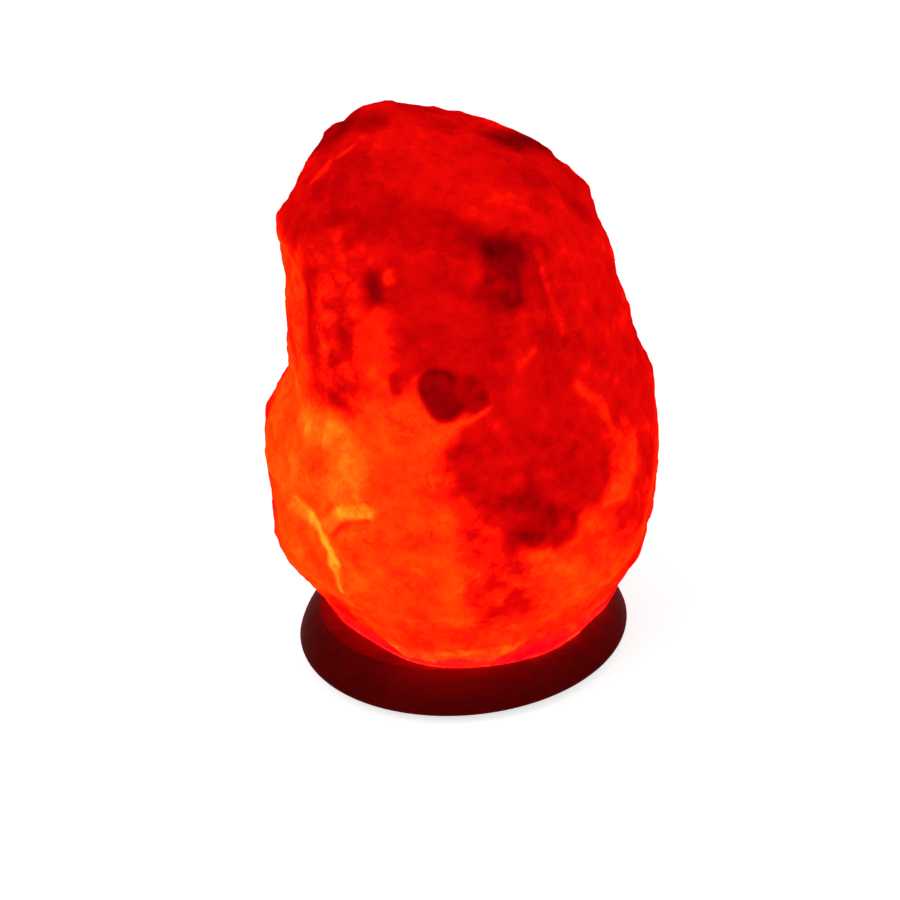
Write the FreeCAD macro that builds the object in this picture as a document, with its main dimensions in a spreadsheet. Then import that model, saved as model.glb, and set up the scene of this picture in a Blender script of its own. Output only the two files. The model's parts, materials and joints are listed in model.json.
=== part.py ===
import FreeCAD, Part
import itertools
import math
import os
import re
import Sketcher

# Salt crystal lamp: a rough block of rock salt, hollowed from below, on a turned wooden base.
# A lamp holder on a sprung plate pushes up into the base and carries a small screw-in bulb.
# Millimetres and degrees.  Z is up, the table is at zero and the base is turned about the Z axis.
# Front is -Y, and the lead would leave the base at the back, +Y.

SIZES = {
    # how far a cutting shape runs past what it cuts
    "overrun": 1.0,
    # rubber feet
    "foot_radius": 6.0,
    "foot_height": 3.0,
    "foot_ease": 0.8,
    "foot_inset": 10.0,
    # turned wooden base
    "base_thickness": 16.0,
    "base_under_radius": 62.0,
    "base_widest_radius": 65.0,
    "base_widest_height": 3.2,
    "base_top_radius": 56.0,
    "base_side_curve": 26.0,
    "base_hole_radius": 23.0,
    "recess_ledge": 10.0,
    "recess_depth": 9.0,
    # lead's groove and the rubber bush that fills it
    "groove_width": 11.0,
    "groove_depth": 10.0,
    "bush_gap": 0.15,
    "bush_lip": 1.5,
    "bush_lip_thickness": 2.0,
    "bush_end_inset": 4.5,
    "bush_bore_radius": 3.6,
    # screws that hold the stone, and their plugs
    "screw_wall": 7.0,
    "screw_length": 34.0,
    "screw_shank_radius": 2.1,
    "screw_point": 4.0,
    "screw_head_radius": 4.4,
    "screw_head_height": 2.6,
    "screw_head_sink": 0.5,
    "screw_slot_width": 1.2,
    "screw_slot_depth": 1.4,
    "screw_hole_gap": 0.3,
    "anchor_radius": 4.0,
    "anchor_bore_gap": 0.05,
    "anchor_end": 2.0,
    "anchor_hole_gap": 0.05,
    # stone
    "stone_sides": 36.0,
    "stone_squareness": 2.3,
    "worn_side_angle": 225.0,
    "worn_side_depth": 0.085,
    "worn_side_spread": 26.0,
    "worn_side_height": 39.0,
    "lump_spacing": 36.0,
    "lump_height": 2.4,
    "knob_spacing": 21.0,
    "knob_height": 1.7,
    "lump_start": 12.0,
    "heart_low": 45.0,
    "heart_high": 125.0,
    "peak_across": -14.0,
    "peak_back": 18.0,
    "peak_rise": 0.9,
    "cavity_step": 2.0,
    "cavity_depth": 94.0,
    # sprung plate
    "plate_thickness": 1.0,
    "plate_gap": 1.5,
    "clip_width": 8.0,
    "clip_thickness": 0.5,
    "clip_gap": 0.3,
    "clip_first_angle": 90.0,
    "clip_foot_length": 6.5,
    "clip_bend": 1.5,
    "clip_grip_height": 4.0,
    "clip_height": 24.0,
    "clip_tip_lean": 4.5,
    "rivet_inset": 5.0,
    "rivet_radius": 1.2,
    "rivet_head_radius": 2.2,
    "rivet_head_height": 0.8,
    "rivet_gap": 0.05,
    # threaded tube and its nut
    "nipple_radius": 5.0,
    "nipple_bore_radius": 3.5,
    "nipple_below": 5.5,
    "nipple_above": 5.0,
    "thread_gap": 0.1,
    "nut_across_flats": 14.0,
    "nut_thickness": 3.5,
    # lamp holder
    "holder_radius": 13.5,
    "holder_wall": 1.8,
    "holder_fit": 0.15,
    "cap_floor": 3.0,
    "cap_height": 14.0,
    "cap_spigot_height": 4.0,
    "cap_spigot_wall": 1.6,
    "insert_thickness": 8.0,
    "mouth_radius": 8.6,
    "mouth_thickness": 1.5,
    "mouth_gap": 0.3,
    # contacts and terminals
    "contact_thickness": 0.5,
    "contact_width": 5.0,
    "contact_slot_gap": 0.1,
    "centre_blade_reach": 4.4,
    "side_blade_reach": 7.0,
    "centre_terminal_reach": 6.8,
    "side_terminal_reach": 4.4,
    "tab_margin": 2.1,
    "contact_rise": 3.5,
    "contact_pad": 1.6,
    "terminal_shank_radius": 1.0,
    "terminal_depth": 4.5,
    "terminal_head_radius": 2.0,
    "terminal_head_height": 1.4,
    "terminal_gap": 0.05,
    # lamp thread, the small screw cap's standard sizes
    "thread_pitch": 2.822,
    "thread_minor_radius": 6.145,
    "thread_depth": 0.8,
    "thread_play": 0.25,
    "thread_fade": 1.8,
    "shell_wall": 0.35,
    "shell_height": 15.0,
    "shell_floor_radius": 5.6,
    # bulb
    "tip_gap": 0.3,
    "tip_radius": 2.4,
    "tip_height": 1.2,
    "insulator_height": 2.0,
    "bulb_cap_height": 11.0,
    "bulb_cap_bore_radius": 5.7,
    "skirt_height": 2.5,
    "skirt_radius": 7.0,
    "neck_depth": 1.5,
    "neck_fit": 0.1,
    "neck_height": 1.0,
    "glass_radius": 13.0,
    "glass_shoulder": 19.0,
    "glass_flare_curve": 40.0,
    "glass_wall": 0.6,
    "stem_radius": 2.4,
    "stem_foot_radius": 4.2,
    "stem_foot_height": 3.0,
    "stem_height": 14.0,
    "lead_wire_radius": 0.25,
    "lead_wire_inset": 1.2,
    "lead_wire_height": 9.0,
    "filament_half_span": 6.5,
    "filament_radius": 0.3,
    "filament_sag": 2.5,
}

# The stone's courses from its foot up: rise over the course below, then how far the stone
# reaches from the base's axis to the left, right, front and back.  A reach below zero stops
# short of the axis.
STONE_COURSES = (
    (0.0, 50.0, 59.5, 55.5, 53.0),
    (3.0, 51.0, 62.0, 58.0, 57.0),
    (5.0, 53.5, 64.5, 61.0, 62.0),
    (7.0, 57.0, 66.5, 65.0, 66.0),
    (9.0, 62.0, 69.0, 69.5, 69.0),
    (9.0, 66.5, 73.0, 72.5, 71.0),
    (9.0, 69.6, 76.3, 74.5, 72.0),
    (7.0, 69.6, 77.8, 75.0, 72.5),
    (7.0, 69.0, 78.4, 75.2, 72.8),
    (7.5, 68.7, 78.2, 75.1, 72.8),
    (7.5, 68.4, 77.4, 74.8, 72.6),
    (6.0, 68.0, 76.4, 74.3, 72.4),
    (6.0, 67.0, 75.3, 73.5, 72.0),
    (8.0, 62.0, 74.6, 72.0, 71.0),
    (9.0, 56.4, 72.8, 70.5, 70.0),
    (11.0, 55.2, 70.8, 68.0, 68.5),
    (7.0, 55.4, 69.2, 66.2, 67.6),
    (8.0, 56.0, 67.0, 64.0, 66.5),
    (7.0, 55.2, 65.2, 61.9, 65.7),
    (8.0, 54.3, 63.2, 59.5, 64.5),
    (6.0, 54.2, 62.4, 57.0, 63.4),
    (6.0, 54.4, 61.2, 54.0, 62.0),
    (9.0, 56.0, 58.8, 48.0, 59.5),
    (6.0, 53.5, 53.0, 42.0, 56.5),
    (6.0, 48.0, 49.0, 34.0, 52.5),
    (6.0, 42.0, 43.5, 25.0, 48.0),
    (5.0, 37.0, 27.0, 15.0, 43.0),
    (4.0, 31.0, 5.0, 5.0, 38.0),
    (3.0, 26.0, -5.0, -4.0, 32.0),
    (2.5, 20.0, -10.0, -11.0, 25.0),
)
COURSE_WORDS = ("rise", "left", "right", "front", "back")
# The stone's broken faces: the way that each faces, in degrees from the front rightwards, its
# tilt upwards, and how deep it cuts below the stone's furthest corner that way.
STONE_FLATS = (
    (12.0, 63.0, 6.0),
    (-22.0, 24.0, 4.0),
    (32.0, 20.0, 4.0),
    (34.0, 6.0, 6.0),
    (62.0, 12.0, 3.0),
    (-46.0, 4.0, 3.5),
    (4.0, 9.0, 2.5),
    (-32.0, -26.0, 3.5),
    (22.0, -24.0, 3.5),
    (110.0, 15.0, 5.0),
    (140.0, 0.0, 6.0),
    (162.0, 30.0, 5.0),
    (186.0, 8.0, 6.0),
    (216.0, 18.0, 5.0),
    (236.0, -10.0, 5.0),
    (254.0, 26.0, 3.5),
    (300.0, 10.0, 3.0),
    (202.0, 50.0, 5.0),
    (122.0, 46.0, 5.0),
    (282.0, 48.0, 3.0),
    (66.0, 50.0, 3.0),
    (334.0, 46.0, 3.0),
    (180.0, -26.0, 5.0),
    (96.0, -30.0, 3.0),
    (52.0, -30.0, 6.0),
    (-54.0, -30.0, 5.0),
)
FLAT_WORDS = ("facing", "tilt", "depth")
# What the stone's fixed irregular numbers are worked out from: a step for each count of a
# cubic cell along X, Y and Z, and the factor that scatters them.
UNEVEN_STEPS = (12.9898, 78.233, 37.719)
UNEVEN_SCATTER = 43758.5453

FOOT_COUNT = 4
SCREW_COUNT = 3
CLIP_COUNT = 3
TERMINAL_REACHES = ("-centre_terminal_reach", "side_terminal_reach")
NUT_SIDES = 6
LEAD_WIRE_COUNT = 2
AXIS_LINE_HEIGHT = "10"
THREAD_STEPS_PER_PITCH = 10

# Values worked out from the sizes: levels above the table, reaches from the axis.
DERIVED = {
    "half_turn": "180",
    "foot_circle_radius": "base_under_radius - foot_inset",
    "seat_level": "foot_height + base_thickness",
    "edge_width": "base_widest_radius - base_under_radius",
    "edge_curve": "(edge_width ^ 2 + base_widest_height ^ 2) / (2 * base_widest_height)",
    "ceiling_level": "foot_height + recess_depth",
    "plate_under_level": "ceiling_level - plate_thickness",
    "recess_radius": "base_hole_radius + recess_ledge",
    "groove_top_level": "foot_height + groove_depth",
    "bush_half_width": "groove_width / 2 - bush_gap",
    "bush_lip_half_width": "groove_width / 2 + bush_lip",
    "bush_lip_outer": "sqrt(recess_radius ^ 2 - bush_lip_half_width ^ 2) - 2 * bush_gap",
    "bush_start": "bush_lip_outer - bush_lip_thickness",
    "bush_length": "base_widest_radius - bush_end_inset - bush_start",
    "bush_bore_level": "foot_height + groove_depth / 2",
    "plate_radius": "bush_start - plate_gap",
    "screw_circle_radius": "recess_radius + screw_wall",
    "screw_hole_radius": "screw_shank_radius + screw_hole_gap",
    "screw_head_level": "foot_height + screw_head_sink",
    "screw_end_level": "screw_head_level + screw_length",
    "anchor_top_level": "screw_end_level + anchor_end",
    "cavity_radius": "base_hole_radius + cavity_step",
    "dome_level": "seat_level + cavity_depth - cavity_radius",
    "clip_face": "sqrt((base_hole_radius - clip_gap) ^ 2 - (clip_width / 2) ^ 2)",
    "clip_bend_reach": "clip_face - clip_bend",
    "clip_foot_reach": "clip_bend_reach - clip_foot_length",
    "clip_tip_reach": "clip_face - clip_tip_lean",
    "rivet_reach": "clip_face - rivet_inset",
    "cap_floor_level": "ceiling_level + cap_floor",
    "cap_rim_level": "ceiling_level + cap_height",
    "insert_level": "cap_rim_level + cap_spigot_height",
    "insert_top_level": "insert_level + insert_thickness",
    "shell_base_level": "insert_top_level + shell_wall",
    "shell_top_level": "shell_base_level + shell_height",
    "mouth_level": "shell_top_level + mouth_gap",
    "holder_top_level": "mouth_level + mouth_thickness",
    "holder_bore_radius": "holder_radius - holder_wall",
    "spigot_radius": "holder_bore_radius - holder_fit",
    "thread_major_radius": "thread_minor_radius + thread_depth",
    "contact_top_level": "insert_top_level + contact_rise",
    "tip_level": "contact_top_level + tip_gap",
    "insulator_level": "tip_level + tip_height",
    "bulb_cap_level": "insulator_level + insulator_height",
    "skirt_level": "bulb_cap_level + bulb_cap_height",
    "bulb_cap_top_level": "skirt_level + skirt_height",
    "neck_level": "bulb_cap_top_level - neck_depth",
    "neck_radius": "bulb_cap_bore_radius - neck_fit",
    "neck_end_level": "bulb_cap_top_level + neck_height",
    "glass_centre_level": "neck_end_level + glass_shoulder",
    "glass_inner_radius": "glass_radius - glass_wall",
    "neck_inner_radius": "neck_radius - glass_wall",
    "stem_top_level": "neck_level + stem_height",
    "filament_level": "stem_top_level + lead_wire_height",
    "lead_wire_foot": "stem_radius - lead_wire_inset",
}


def formula(text):
    """Return text with each derived value spelled out and each size read from the sheet."""
    def spell(match):
        word = match.group()
        if word in DERIVED:
            return "(" + formula(DERIVED[word]) + ")"
        if word in SIZES:
            return "Sizes." + word
        return word
    return re.sub(r"[a-z][a-z_0-9]*", spell, text)


def number(doc, text):
    """Return a size or a formula of sizes as a number."""
    return float(doc.Sizes.evalExpression(formula(text).replace("Sizes.", "")))


def table_alias(table, row, word):
    """Return the sheet's name for one measure in one row of the stone's tables."""
    return "%s_%d_%s" % (table, row + 1, word)


def table_row(doc, table, row, words):
    """Return one row of the stone's tables as the sheet has it."""
    return [float(doc.Sizes.get(table_alias(table, row, word))) for word in words]


def make_sheet(doc):
    """Keep the driving dimensions in a spreadsheet, one row each."""
    sheet = doc.addObject("Spreadsheet::Sheet", "Sizes")
    rows = list(SIZES.items())
    tables = (("course", STONE_COURSES, COURSE_WORDS), ("flat", STONE_FLATS, FLAT_WORDS))
    for table, table_rows, words in tables:
        for index, measures in enumerate(table_rows):
            for word, measure in zip(words, measures):
                rows.append((table_alias(table, index, word), measure))
    for row, (alias, size) in enumerate(rows, start=1):
        sheet.set("A%d" % row, alias)
        sheet.set("B%d" % row, str(size))
        sheet.setAlias("B%d" % row, alias)
    doc.recompute()
    return sheet


def new_body(doc, name):
    """Start a body whose label is its node's name."""
    body = doc.addObject("PartDesign::Body", name)
    body.Label = name
    return body


def origin_feature(body, role):
    """Return one of the body's own origin planes or axes."""
    for feature in body.Origin.OriginFeatures:
        if feature.Role == role:
            return feature
    raise ValueError(role)


def new_sketch(body, name, plane):
    """Attach an empty sketch to one of the body's origin planes."""
    sketch = body.newObject("Sketcher::SketchObject", name)
    sketch.AttachmentSupport = (origin_feature(body, plane), [""])
    sketch.MapMode = "FlatFace"
    return sketch


def arc_edge(start, end, radius, bulge):
    """Return an arc between two points that bulges to the right (1) or left (-1) of its run."""
    middle = (start + end) * 0.5
    chord = end - start
    half = chord.Length / 2
    square = FreeCAD.Vector(chord.y, -chord.x, 0).normalize()
    centre = middle - square * bulge * math.sqrt(max(radius * radius - half * half, 0.0))
    circle = Part.Circle(centre, FreeCAD.Vector(0, 0, 1), radius)
    first, last = (start, end) if bulge > 0 else (end, start)
    turn = [math.atan2(p.y - centre.y, p.x - centre.x) for p in (first, last)]
    return Part.ArcOfCircle(circle, turn[0], turn[1])


def place_point(sketch, geometry, vertex, across, up):
    """Hold a sketch point at a place given by two formulas."""
    for kind, text in (("DistanceX", across), ("DistanceY", up)):
        rest = number(sketch.Document, text)
        index = sketch.addConstraint(Sketcher.Constraint(kind, -1, 1, geometry, vertex, rest))
        sketch.setExpression("Constraints[%d]" % index, formula(text))


def draw_outline(sketch, corners):
    """Draw a closed outline.  A corner is (across, up), or (across, up, radius, bulge)
    where an arc of that radius runs from it to the next corner."""
    doc = sketch.Document
    points = [FreeCAD.Vector(number(doc, c[0]), number(doc, c[1]), 0) for c in corners]
    starts = []
    ends = []
    for index, corner in enumerate(corners):
        start = points[index]
        end = points[(index + 1) % len(points)]
        if len(corner) == 2:
            edge = sketch.addGeometry(Part.LineSegment(start, end), False)
            forward = True
        else:
            radius = number(doc, corner[2])
            edge = sketch.addGeometry(arc_edge(start, end, radius, corner[3]), False)
            forward = corner[3] > 0
            held = sketch.addConstraint(Sketcher.Constraint("Radius", edge, radius))
            sketch.setExpression("Constraints[%d]" % held, formula(corner[2]))
        starts.append((edge, 1 if forward else 2))
        ends.append((edge, 2 if forward else 1))
    for index, corner in enumerate(corners):
        edge, vertex = starts[index]
        before, before_vertex = ends[index - 1]
        sketch.addConstraint(Sketcher.Constraint("Coincident", before, before_vertex, edge, vertex))
        place_point(sketch, edge, vertex, corner[0], corner[1])


def draw_circle(sketch, radius, across="0", up="0"):
    """Draw a circle whose radius and centre are formulas."""
    doc = sketch.Document
    centre = FreeCAD.Vector(number(doc, across), number(doc, up), 0)
    circle = Part.Circle(centre, FreeCAD.Vector(0, 0, 1), number(doc, radius))
    index = sketch.addGeometry(circle, False)
    held = sketch.addConstraint(Sketcher.Constraint("Radius", index, number(doc, radius)))
    sketch.setExpression("Constraints[%d]" % held, formula(radius))
    place_point(sketch, index, 3, across, up)


def draw_axis(sketch, reach):
    """Draw an upright construction line at a reach from the axis, to revolve about."""
    x = number(sketch.Document, reach)
    top = FreeCAD.Vector(x, number(sketch.Document, AXIS_LINE_HEIGHT), 0)
    line = Part.LineSegment(FreeCAD.Vector(x, 0, 0), top)
    index = sketch.addGeometry(line, True)
    place_point(sketch, index, 1, reach, "0")
    place_point(sketch, index, 2, reach, AXIS_LINE_HEIGHT)


def revolve(body, name, corners, kind="PartDesign::Revolution", reach=None):
    """Turn an outline of (reach, level) corners about Z, or about an upright line at reach."""
    sketch = new_sketch(body, name + "_outline", "XZ_Plane")
    if reach is None:
        draw_outline(sketch, corners)
        axis = (sketch, ["V_Axis"])
    else:
        draw_axis(sketch, reach)
        draw_outline(sketch, [("%s + (%s)" % (reach, c[0]), c[1]) for c in corners])
        axis = (sketch, ["Axis0"])
    feature = body.newObject(kind, name)
    feature.Profile = sketch
    feature.ReferenceAxis = axis
    feature.Angle = 360
    sketch.Visibility = False
    return feature


def pad(body, name, sketch, length, both_ways=False, reverse=False):
    """Pad a sketch by a formula."""
    feature = body.newObject("PartDesign::Pad", name)
    feature.Profile = sketch
    feature.setExpression("Length", formula(length))
    feature.Midplane = both_ways
    feature.Reversed = reverse
    return feature


def pocket_up(body, name, sketch, level):
    """Cut a sketch on the XY plane upwards to a level."""
    feature = body.newObject("PartDesign::Pocket", name)
    feature.Profile = sketch
    feature.Reversed = True
    feature.setExpression("Length", formula(level))
    return feature


def repeat_round(body, features, count):
    """Repeat features evenly about the Z axis, all in one body."""
    pattern = body.newObject("PartDesign::PolarPattern", body.Name + "_round")
    pattern.Originals = features
    pattern.Axis = (origin_feature(body, "Z_Axis"), [""])
    pattern.Angle = 360
    pattern.Occurrences = count
    body.Tip = pattern
    return pattern


def turn_body(body, angle):
    """Turn a whole body about the Z axis by a formula in degrees."""
    body.Placement = FreeCAD.Placement(FreeCAD.Vector(), FreeCAD.Rotation(FreeCAD.Vector(0, 0, 1), 1))
    body.setExpression("Placement.Rotation.Angle", formula(angle))


def rectangle(half_width, low, high):
    """Return the corners of a rectangle about the up axis."""
    left = "-(%s)" % half_width
    return [(left, low), (half_width, low), (half_width, high), (left, high)]


def make_feet(doc):
    """Four rubber feet, flush with the underside of the base."""
    nodes = []
    for index in range(FOOT_COUNT):
        body = new_body(doc, "foot_%d" % (index + 1))
        revolve(body, body.Name + "_turned", [
            ("0", "0"),
            ("foot_radius - foot_ease", "0"),
            ("foot_radius", "foot_ease"),
            ("foot_radius", "foot_height"),
            ("0", "foot_height"),
        ])
        angle = (index + 0.5) * 360 / FOOT_COUNT
        for axis, share in (("x", math.cos), ("y", math.sin)):
            reach = "(foot_circle_radius) * %.9f" % share(math.radians(angle))
            body.setExpression("Placement.Base." + axis, formula(reach))
        nodes.append(body)
    return nodes


def make_base(doc):
    """The turned wooden base: a wide hole, a recess below it, a groove for the lead and
    three countersunk screw holes."""
    body = new_body(doc, "wood_base")
    revolve(body, "base_turned", [
        ("recess_radius", "foot_height"),
        ("base_under_radius", "foot_height", "edge_curve", 1),
        ("base_widest_radius", "foot_height + base_widest_height", "base_side_curve", 1),
        ("base_top_radius", "seat_level"),
        ("base_hole_radius", "seat_level"),
        ("base_hole_radius", "ceiling_level"),
        ("recess_radius", "ceiling_level"),
    ])
    doc.recompute()
    groove = new_sketch(body, "groove_outline", "XY_Plane")
    draw_outline(groove, rectangle(
        "groove_width / 2", "bush_start - overrun", "base_widest_radius + overrun"))
    pocket_up(body, "groove", groove, "groove_top_level")
    doc.recompute()
    hole = revolve(body, "screw_hole", [
        ("0", "foot_height"),
        ("screw_head_radius + screw_hole_gap", "foot_height"),
        ("screw_head_radius + screw_hole_gap", "screw_head_level"),
        ("screw_hole_radius", "screw_head_level + screw_head_height"),
        ("screw_hole_radius", "seat_level"),
        ("0", "seat_level"),
    ], kind="PartDesign::Groove", reach="-(screw_circle_radius)")
    doc.recompute()
    repeat_round(body, [hole], SCREW_COUNT)
    return body


def make_bush(doc):
    """The rubber bush that fills the groove, with a lip inside the recess."""
    body = new_body(doc, "cord_grommet")
    lip = new_sketch(body, "bush_lip_outline", "XZ_Plane")
    draw_outline(lip, rectangle("bush_lip_half_width", "foot_height", "ceiling_level - bush_gap"))
    draw_circle(lip, "bush_bore_radius", "0", "bush_bore_level")
    pad(body, "bush_lip_block", lip, "bush_lip_thickness", reverse=True)
    sleeve = new_sketch(body, "bush_sleeve_outline", "XZ_Plane")
    draw_outline(sleeve, rectangle("bush_half_width", "foot_height", "groove_top_level - bush_gap"))
    draw_circle(sleeve, "bush_bore_radius", "0", "bush_bore_level")
    pad(body, "bush_sleeve", sleeve, "bush_length", reverse=True)
    body.setExpression("Placement.Base.y", formula("bush_start"))
    return body


def make_fixing_screws(doc):
    """Three countersunk screws from under the base up into the stone."""
    body = new_body(doc, "fixing_screws")
    reach = "-(screw_circle_radius)"
    shaft = revolve(body, "screw_turned", [
        ("0", "screw_head_level"),
        ("screw_head_radius", "screw_head_level"),
        ("screw_shank_radius", "screw_head_level + screw_head_height"),
        ("screw_shank_radius", "screw_end_level - screw_point"),
        ("0", "screw_end_level"),
    ], reach=reach)
    doc.recompute()
    slot = new_sketch(body, "screw_slot_outline", "XY_Plane")
    draw_outline(slot, [
        (reach + " - screw_head_radius", "-screw_slot_width / 2"),
        (reach + " + screw_head_radius", "-screw_slot_width / 2"),
        (reach + " + screw_head_radius", "screw_slot_width / 2"),
        (reach + " - screw_head_radius", "screw_slot_width / 2"),
    ])
    cut = pocket_up(body, "screw_slot", slot, "screw_head_level + screw_slot_depth")
    doc.recompute()
    repeat_round(body, [shaft, cut], SCREW_COUNT)
    return body


def make_anchors(doc):
    """Three plastic plugs set in the stone for the screws."""
    body = new_body(doc, "screw_anchors")
    plug = revolve(body, "anchor_turned", [
        ("screw_shank_radius + anchor_bore_gap", "seat_level"),
        ("anchor_radius", "seat_level"),
        ("anchor_radius", "anchor_top_level"),
        ("screw_shank_radius + anchor_bore_gap", "anchor_top_level"),
    ], reach="-(screw_circle_radius)")
    doc.recompute()
    repeat_round(body, [plug], SCREW_COUNT)
    return body


def smooth_step(share):
    """Rise smoothly from 0 at 0 to 1 at 1."""
    share = max(min(share, 1.0), 0.0)
    return share * share * (3 - 2 * share)


def unevenness(cell):
    """Return a fixed irregular number from -1 to 1 for one whole-numbered cell."""
    wave = math.sin(sum(step * count for step, count in zip(UNEVEN_STEPS, cell))) * UNEVEN_SCATTER
    return 2 * (wave - math.floor(wave)) - 1


def smooth_unevenness(place, spacing):
    """Return a smooth irregular number from -1 to 1 at a place: the mix of the numbers of its
    cubic cell's eight corners, weighted by the smooth step along each axis."""
    scaled = [length / spacing for length in place]
    home = [math.floor(length) for length in scaled]
    shares = [smooth_step(length - whole) for length, whole in zip(scaled, home)]
    total = 0.0
    for offset in itertools.product((0, 1), repeat=3):
        weights = [share if side else 1 - share for share, side in zip(shares, offset)]
        total += math.prod(weights) * unevenness([whole + side for whole, side in zip(home, offset)])
    return total


def signed_power(share, power):
    """Raise a share's size to a power and keep its sign."""
    return math.copysign(abs(share) ** power, share)


def stone_course(doc, course, level):
    """Return the corners of one course: a rounded square between its four reaches, and half a
    step round on every other course.  Low down, one side is worn back."""
    rise, left, right, front, back = table_row(doc, "course", course, COURSE_WORDS)
    sides = int(number(doc, "stone_sides"))
    power = 2 / number(doc, "stone_squareness")
    worn_angle = math.radians(number(doc, "worn_side_angle"))
    spread = math.radians(number(doc, "worn_side_spread"))
    height = (level - number(doc, "seat_level")) / number(doc, "worn_side_height")
    depth = number(doc, "worn_side_depth") * (1 - smooth_step(height))
    corners = []
    for corner in range(sides):
        angle = 2 * math.pi * (corner + 0.5 * (course % 2)) / sides
        swell = 1 - depth * math.exp(-((angle - worn_angle) / spread) ** 2)
        corners.append(FreeCAD.Vector(
            (right - left) / 2 + (right + left) / 2 * signed_power(math.cos(angle), power) * swell,
            (back - front) / 2 + (back + front) / 2 * signed_power(math.sin(angle), power) * swell,
            level))
    return corners


def add_lumps(doc, rings):
    """Return the corners moved away from the stone's heart, an upright line on the axis, or
    towards it, by broad lumps and smaller knobs that start a little above the foot."""
    low = number(doc, "heart_low")
    high = number(doc, "heart_high")
    start = number(doc, "seat_level")
    run = number(doc, "lump_start")
    kinds = [
        (number(doc, kind + "_spacing"), number(doc, kind + "_height")) for kind in ("lump", "knob")]

    def moved(corner):
        heart = FreeCAD.Vector(0, 0, max(min(corner.z, high), low))
        out = sum(height * smooth_unevenness(corner, spacing) for spacing, height in kinds)
        return corner + (corner - heart).normalize() * out * smooth_step((corner.z - start) / run)

    return [[moved(corner) for corner in ring] for ring in rings]


def cut_flats(doc, rings):
    """Return the corners with each one that is past the plane of a broken face moved back onto
    it, square to it."""
    for index in range(len(STONE_FLATS)):
        facing, tilt, depth = table_row(doc, "flat", index, FLAT_WORDS)
        facing = math.radians(facing)
        tilt = math.radians(tilt)
        square = FreeCAD.Vector(
            math.cos(tilt) * math.sin(facing), -math.cos(tilt) * math.cos(facing), math.sin(tilt))
        limit = max(corner.dot(square) for ring in rings for corner in ring) - depth
        rings = [
            [corner - square * max(corner.dot(square) - limit, 0.0) for corner in ring]
            for ring in rings
        ]
    return rings


def make_stone_block(doc):
    """The block before it is hollowed: courses of corners joined by flat three-sided faces, with
    lumps and broken faces, closed by its foot and its peak."""
    sides = int(number(doc, "stone_sides"))
    level = number(doc, "seat_level")
    rings = []
    for course in range(len(STONE_COURSES)):
        level += doc.Sizes.get(table_alias("course", course, "rise"))
        rings.append(stone_course(doc, course, level))
    peak = FreeCAD.Vector(
        number(doc, "peak_across"), number(doc, "peak_back"), level + number(doc, "peak_rise"))
    rings = cut_flats(doc, add_lumps(doc, rings + [[peak]]))
    peak = rings.pop()[0]
    for corner in rings[0]:
        corner.z = number(doc, "seat_level")
    outlines = [list(reversed(rings[0]))]
    for course in range(len(rings) - 1):
        low, high = rings[course], rings[course + 1]
        for corner in range(sides):
            following = (corner + 1) % sides
            if course % 2 == 0:
                outlines.append([low[corner], low[following], high[corner]])
                outlines.append([low[following], high[following], high[corner]])
            else:
                outlines.append([low[corner], high[following], high[corner]])
                outlines.append([low[corner], low[following], high[following]])
    for corner in range(sides):
        outlines.append([rings[-1][corner], rings[-1][(corner + 1) % sides], peak])
    faces = [Part.Face(Part.makePolygon(outline + outline[:1])) for outline in outlines]
    block = doc.addObject("Part::Feature", "stone_block")
    shell = Part.Shell(faces)
    shell.sewShape()
    block.Shape = Part.Solid(shell)
    return block


def set_sizes(feature, **formulas):
    """Bind a primitive's properties to formulas of the sheet's sizes."""
    for name, text in formulas.items():
        feature.setExpression(name.replace("__", "."), formula(text))
    return feature


def make_stone(doc):
    """The stone: the block less its bored, round-ended cavity and the holes for the plugs."""
    bore = doc.addObject("Part::Cylinder", "cavity_bore")
    set_sizes(bore, Radius="cavity_radius", Height="dome_level - seat_level + overrun",
              Placement__Base__z="seat_level - overrun")
    dome = doc.addObject("Part::Sphere", "cavity_dome")
    set_sizes(dome, Radius="cavity_radius", Placement__Base__z="dome_level")
    tools = [bore, dome]
    for index in range(SCREW_COUNT):
        hole = doc.addObject("Part::Cylinder", "anchor_hole_%d" % (index + 1))
        angle = "%.9f" % (index * 360 / SCREW_COUNT)
        set_sizes(hole, Radius="anchor_radius + anchor_hole_gap",
                  Height="anchor_top_level - seat_level + overrun",
                  Placement__Base__x="-(screw_circle_radius) * cos(%s)" % angle,
                  Placement__Base__y="-(screw_circle_radius) * sin(%s)" % angle,
                  Placement__Base__z="seat_level - overrun")
        tools.append(hole)
    hollow = doc.addObject("Part::MultiFuse", "stone_hollow")
    hollow.Shapes = tools
    stone = doc.addObject("Part::Cut", "salt_crystal")
    stone.Base = make_stone_block(doc)
    stone.Tool = hollow
    return stone


def make_plate(doc):
    """The round steel plate against the recess's ceiling."""
    body = new_body(doc, "holder_plate")
    revolve(body, "plate_turned", [
        ("nipple_radius + thread_gap", "plate_under_level"),
        ("plate_radius", "plate_under_level"),
        ("plate_radius", "ceiling_level"),
        ("nipple_radius + thread_gap", "ceiling_level"),
    ])
    doc.recompute()
    holes = new_sketch(body, "plate_rivet_hole_outline", "XY_Plane")
    draw_circle(holes, "rivet_radius + rivet_gap", "rivet_reach", "0")
    hole = pocket_up(body, "plate_rivet_hole", holes, "ceiling_level + overrun")
    doc.recompute()
    repeat_round(body, [hole], CLIP_COUNT)
    turn_body(body, "clip_first_angle")
    return body


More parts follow.
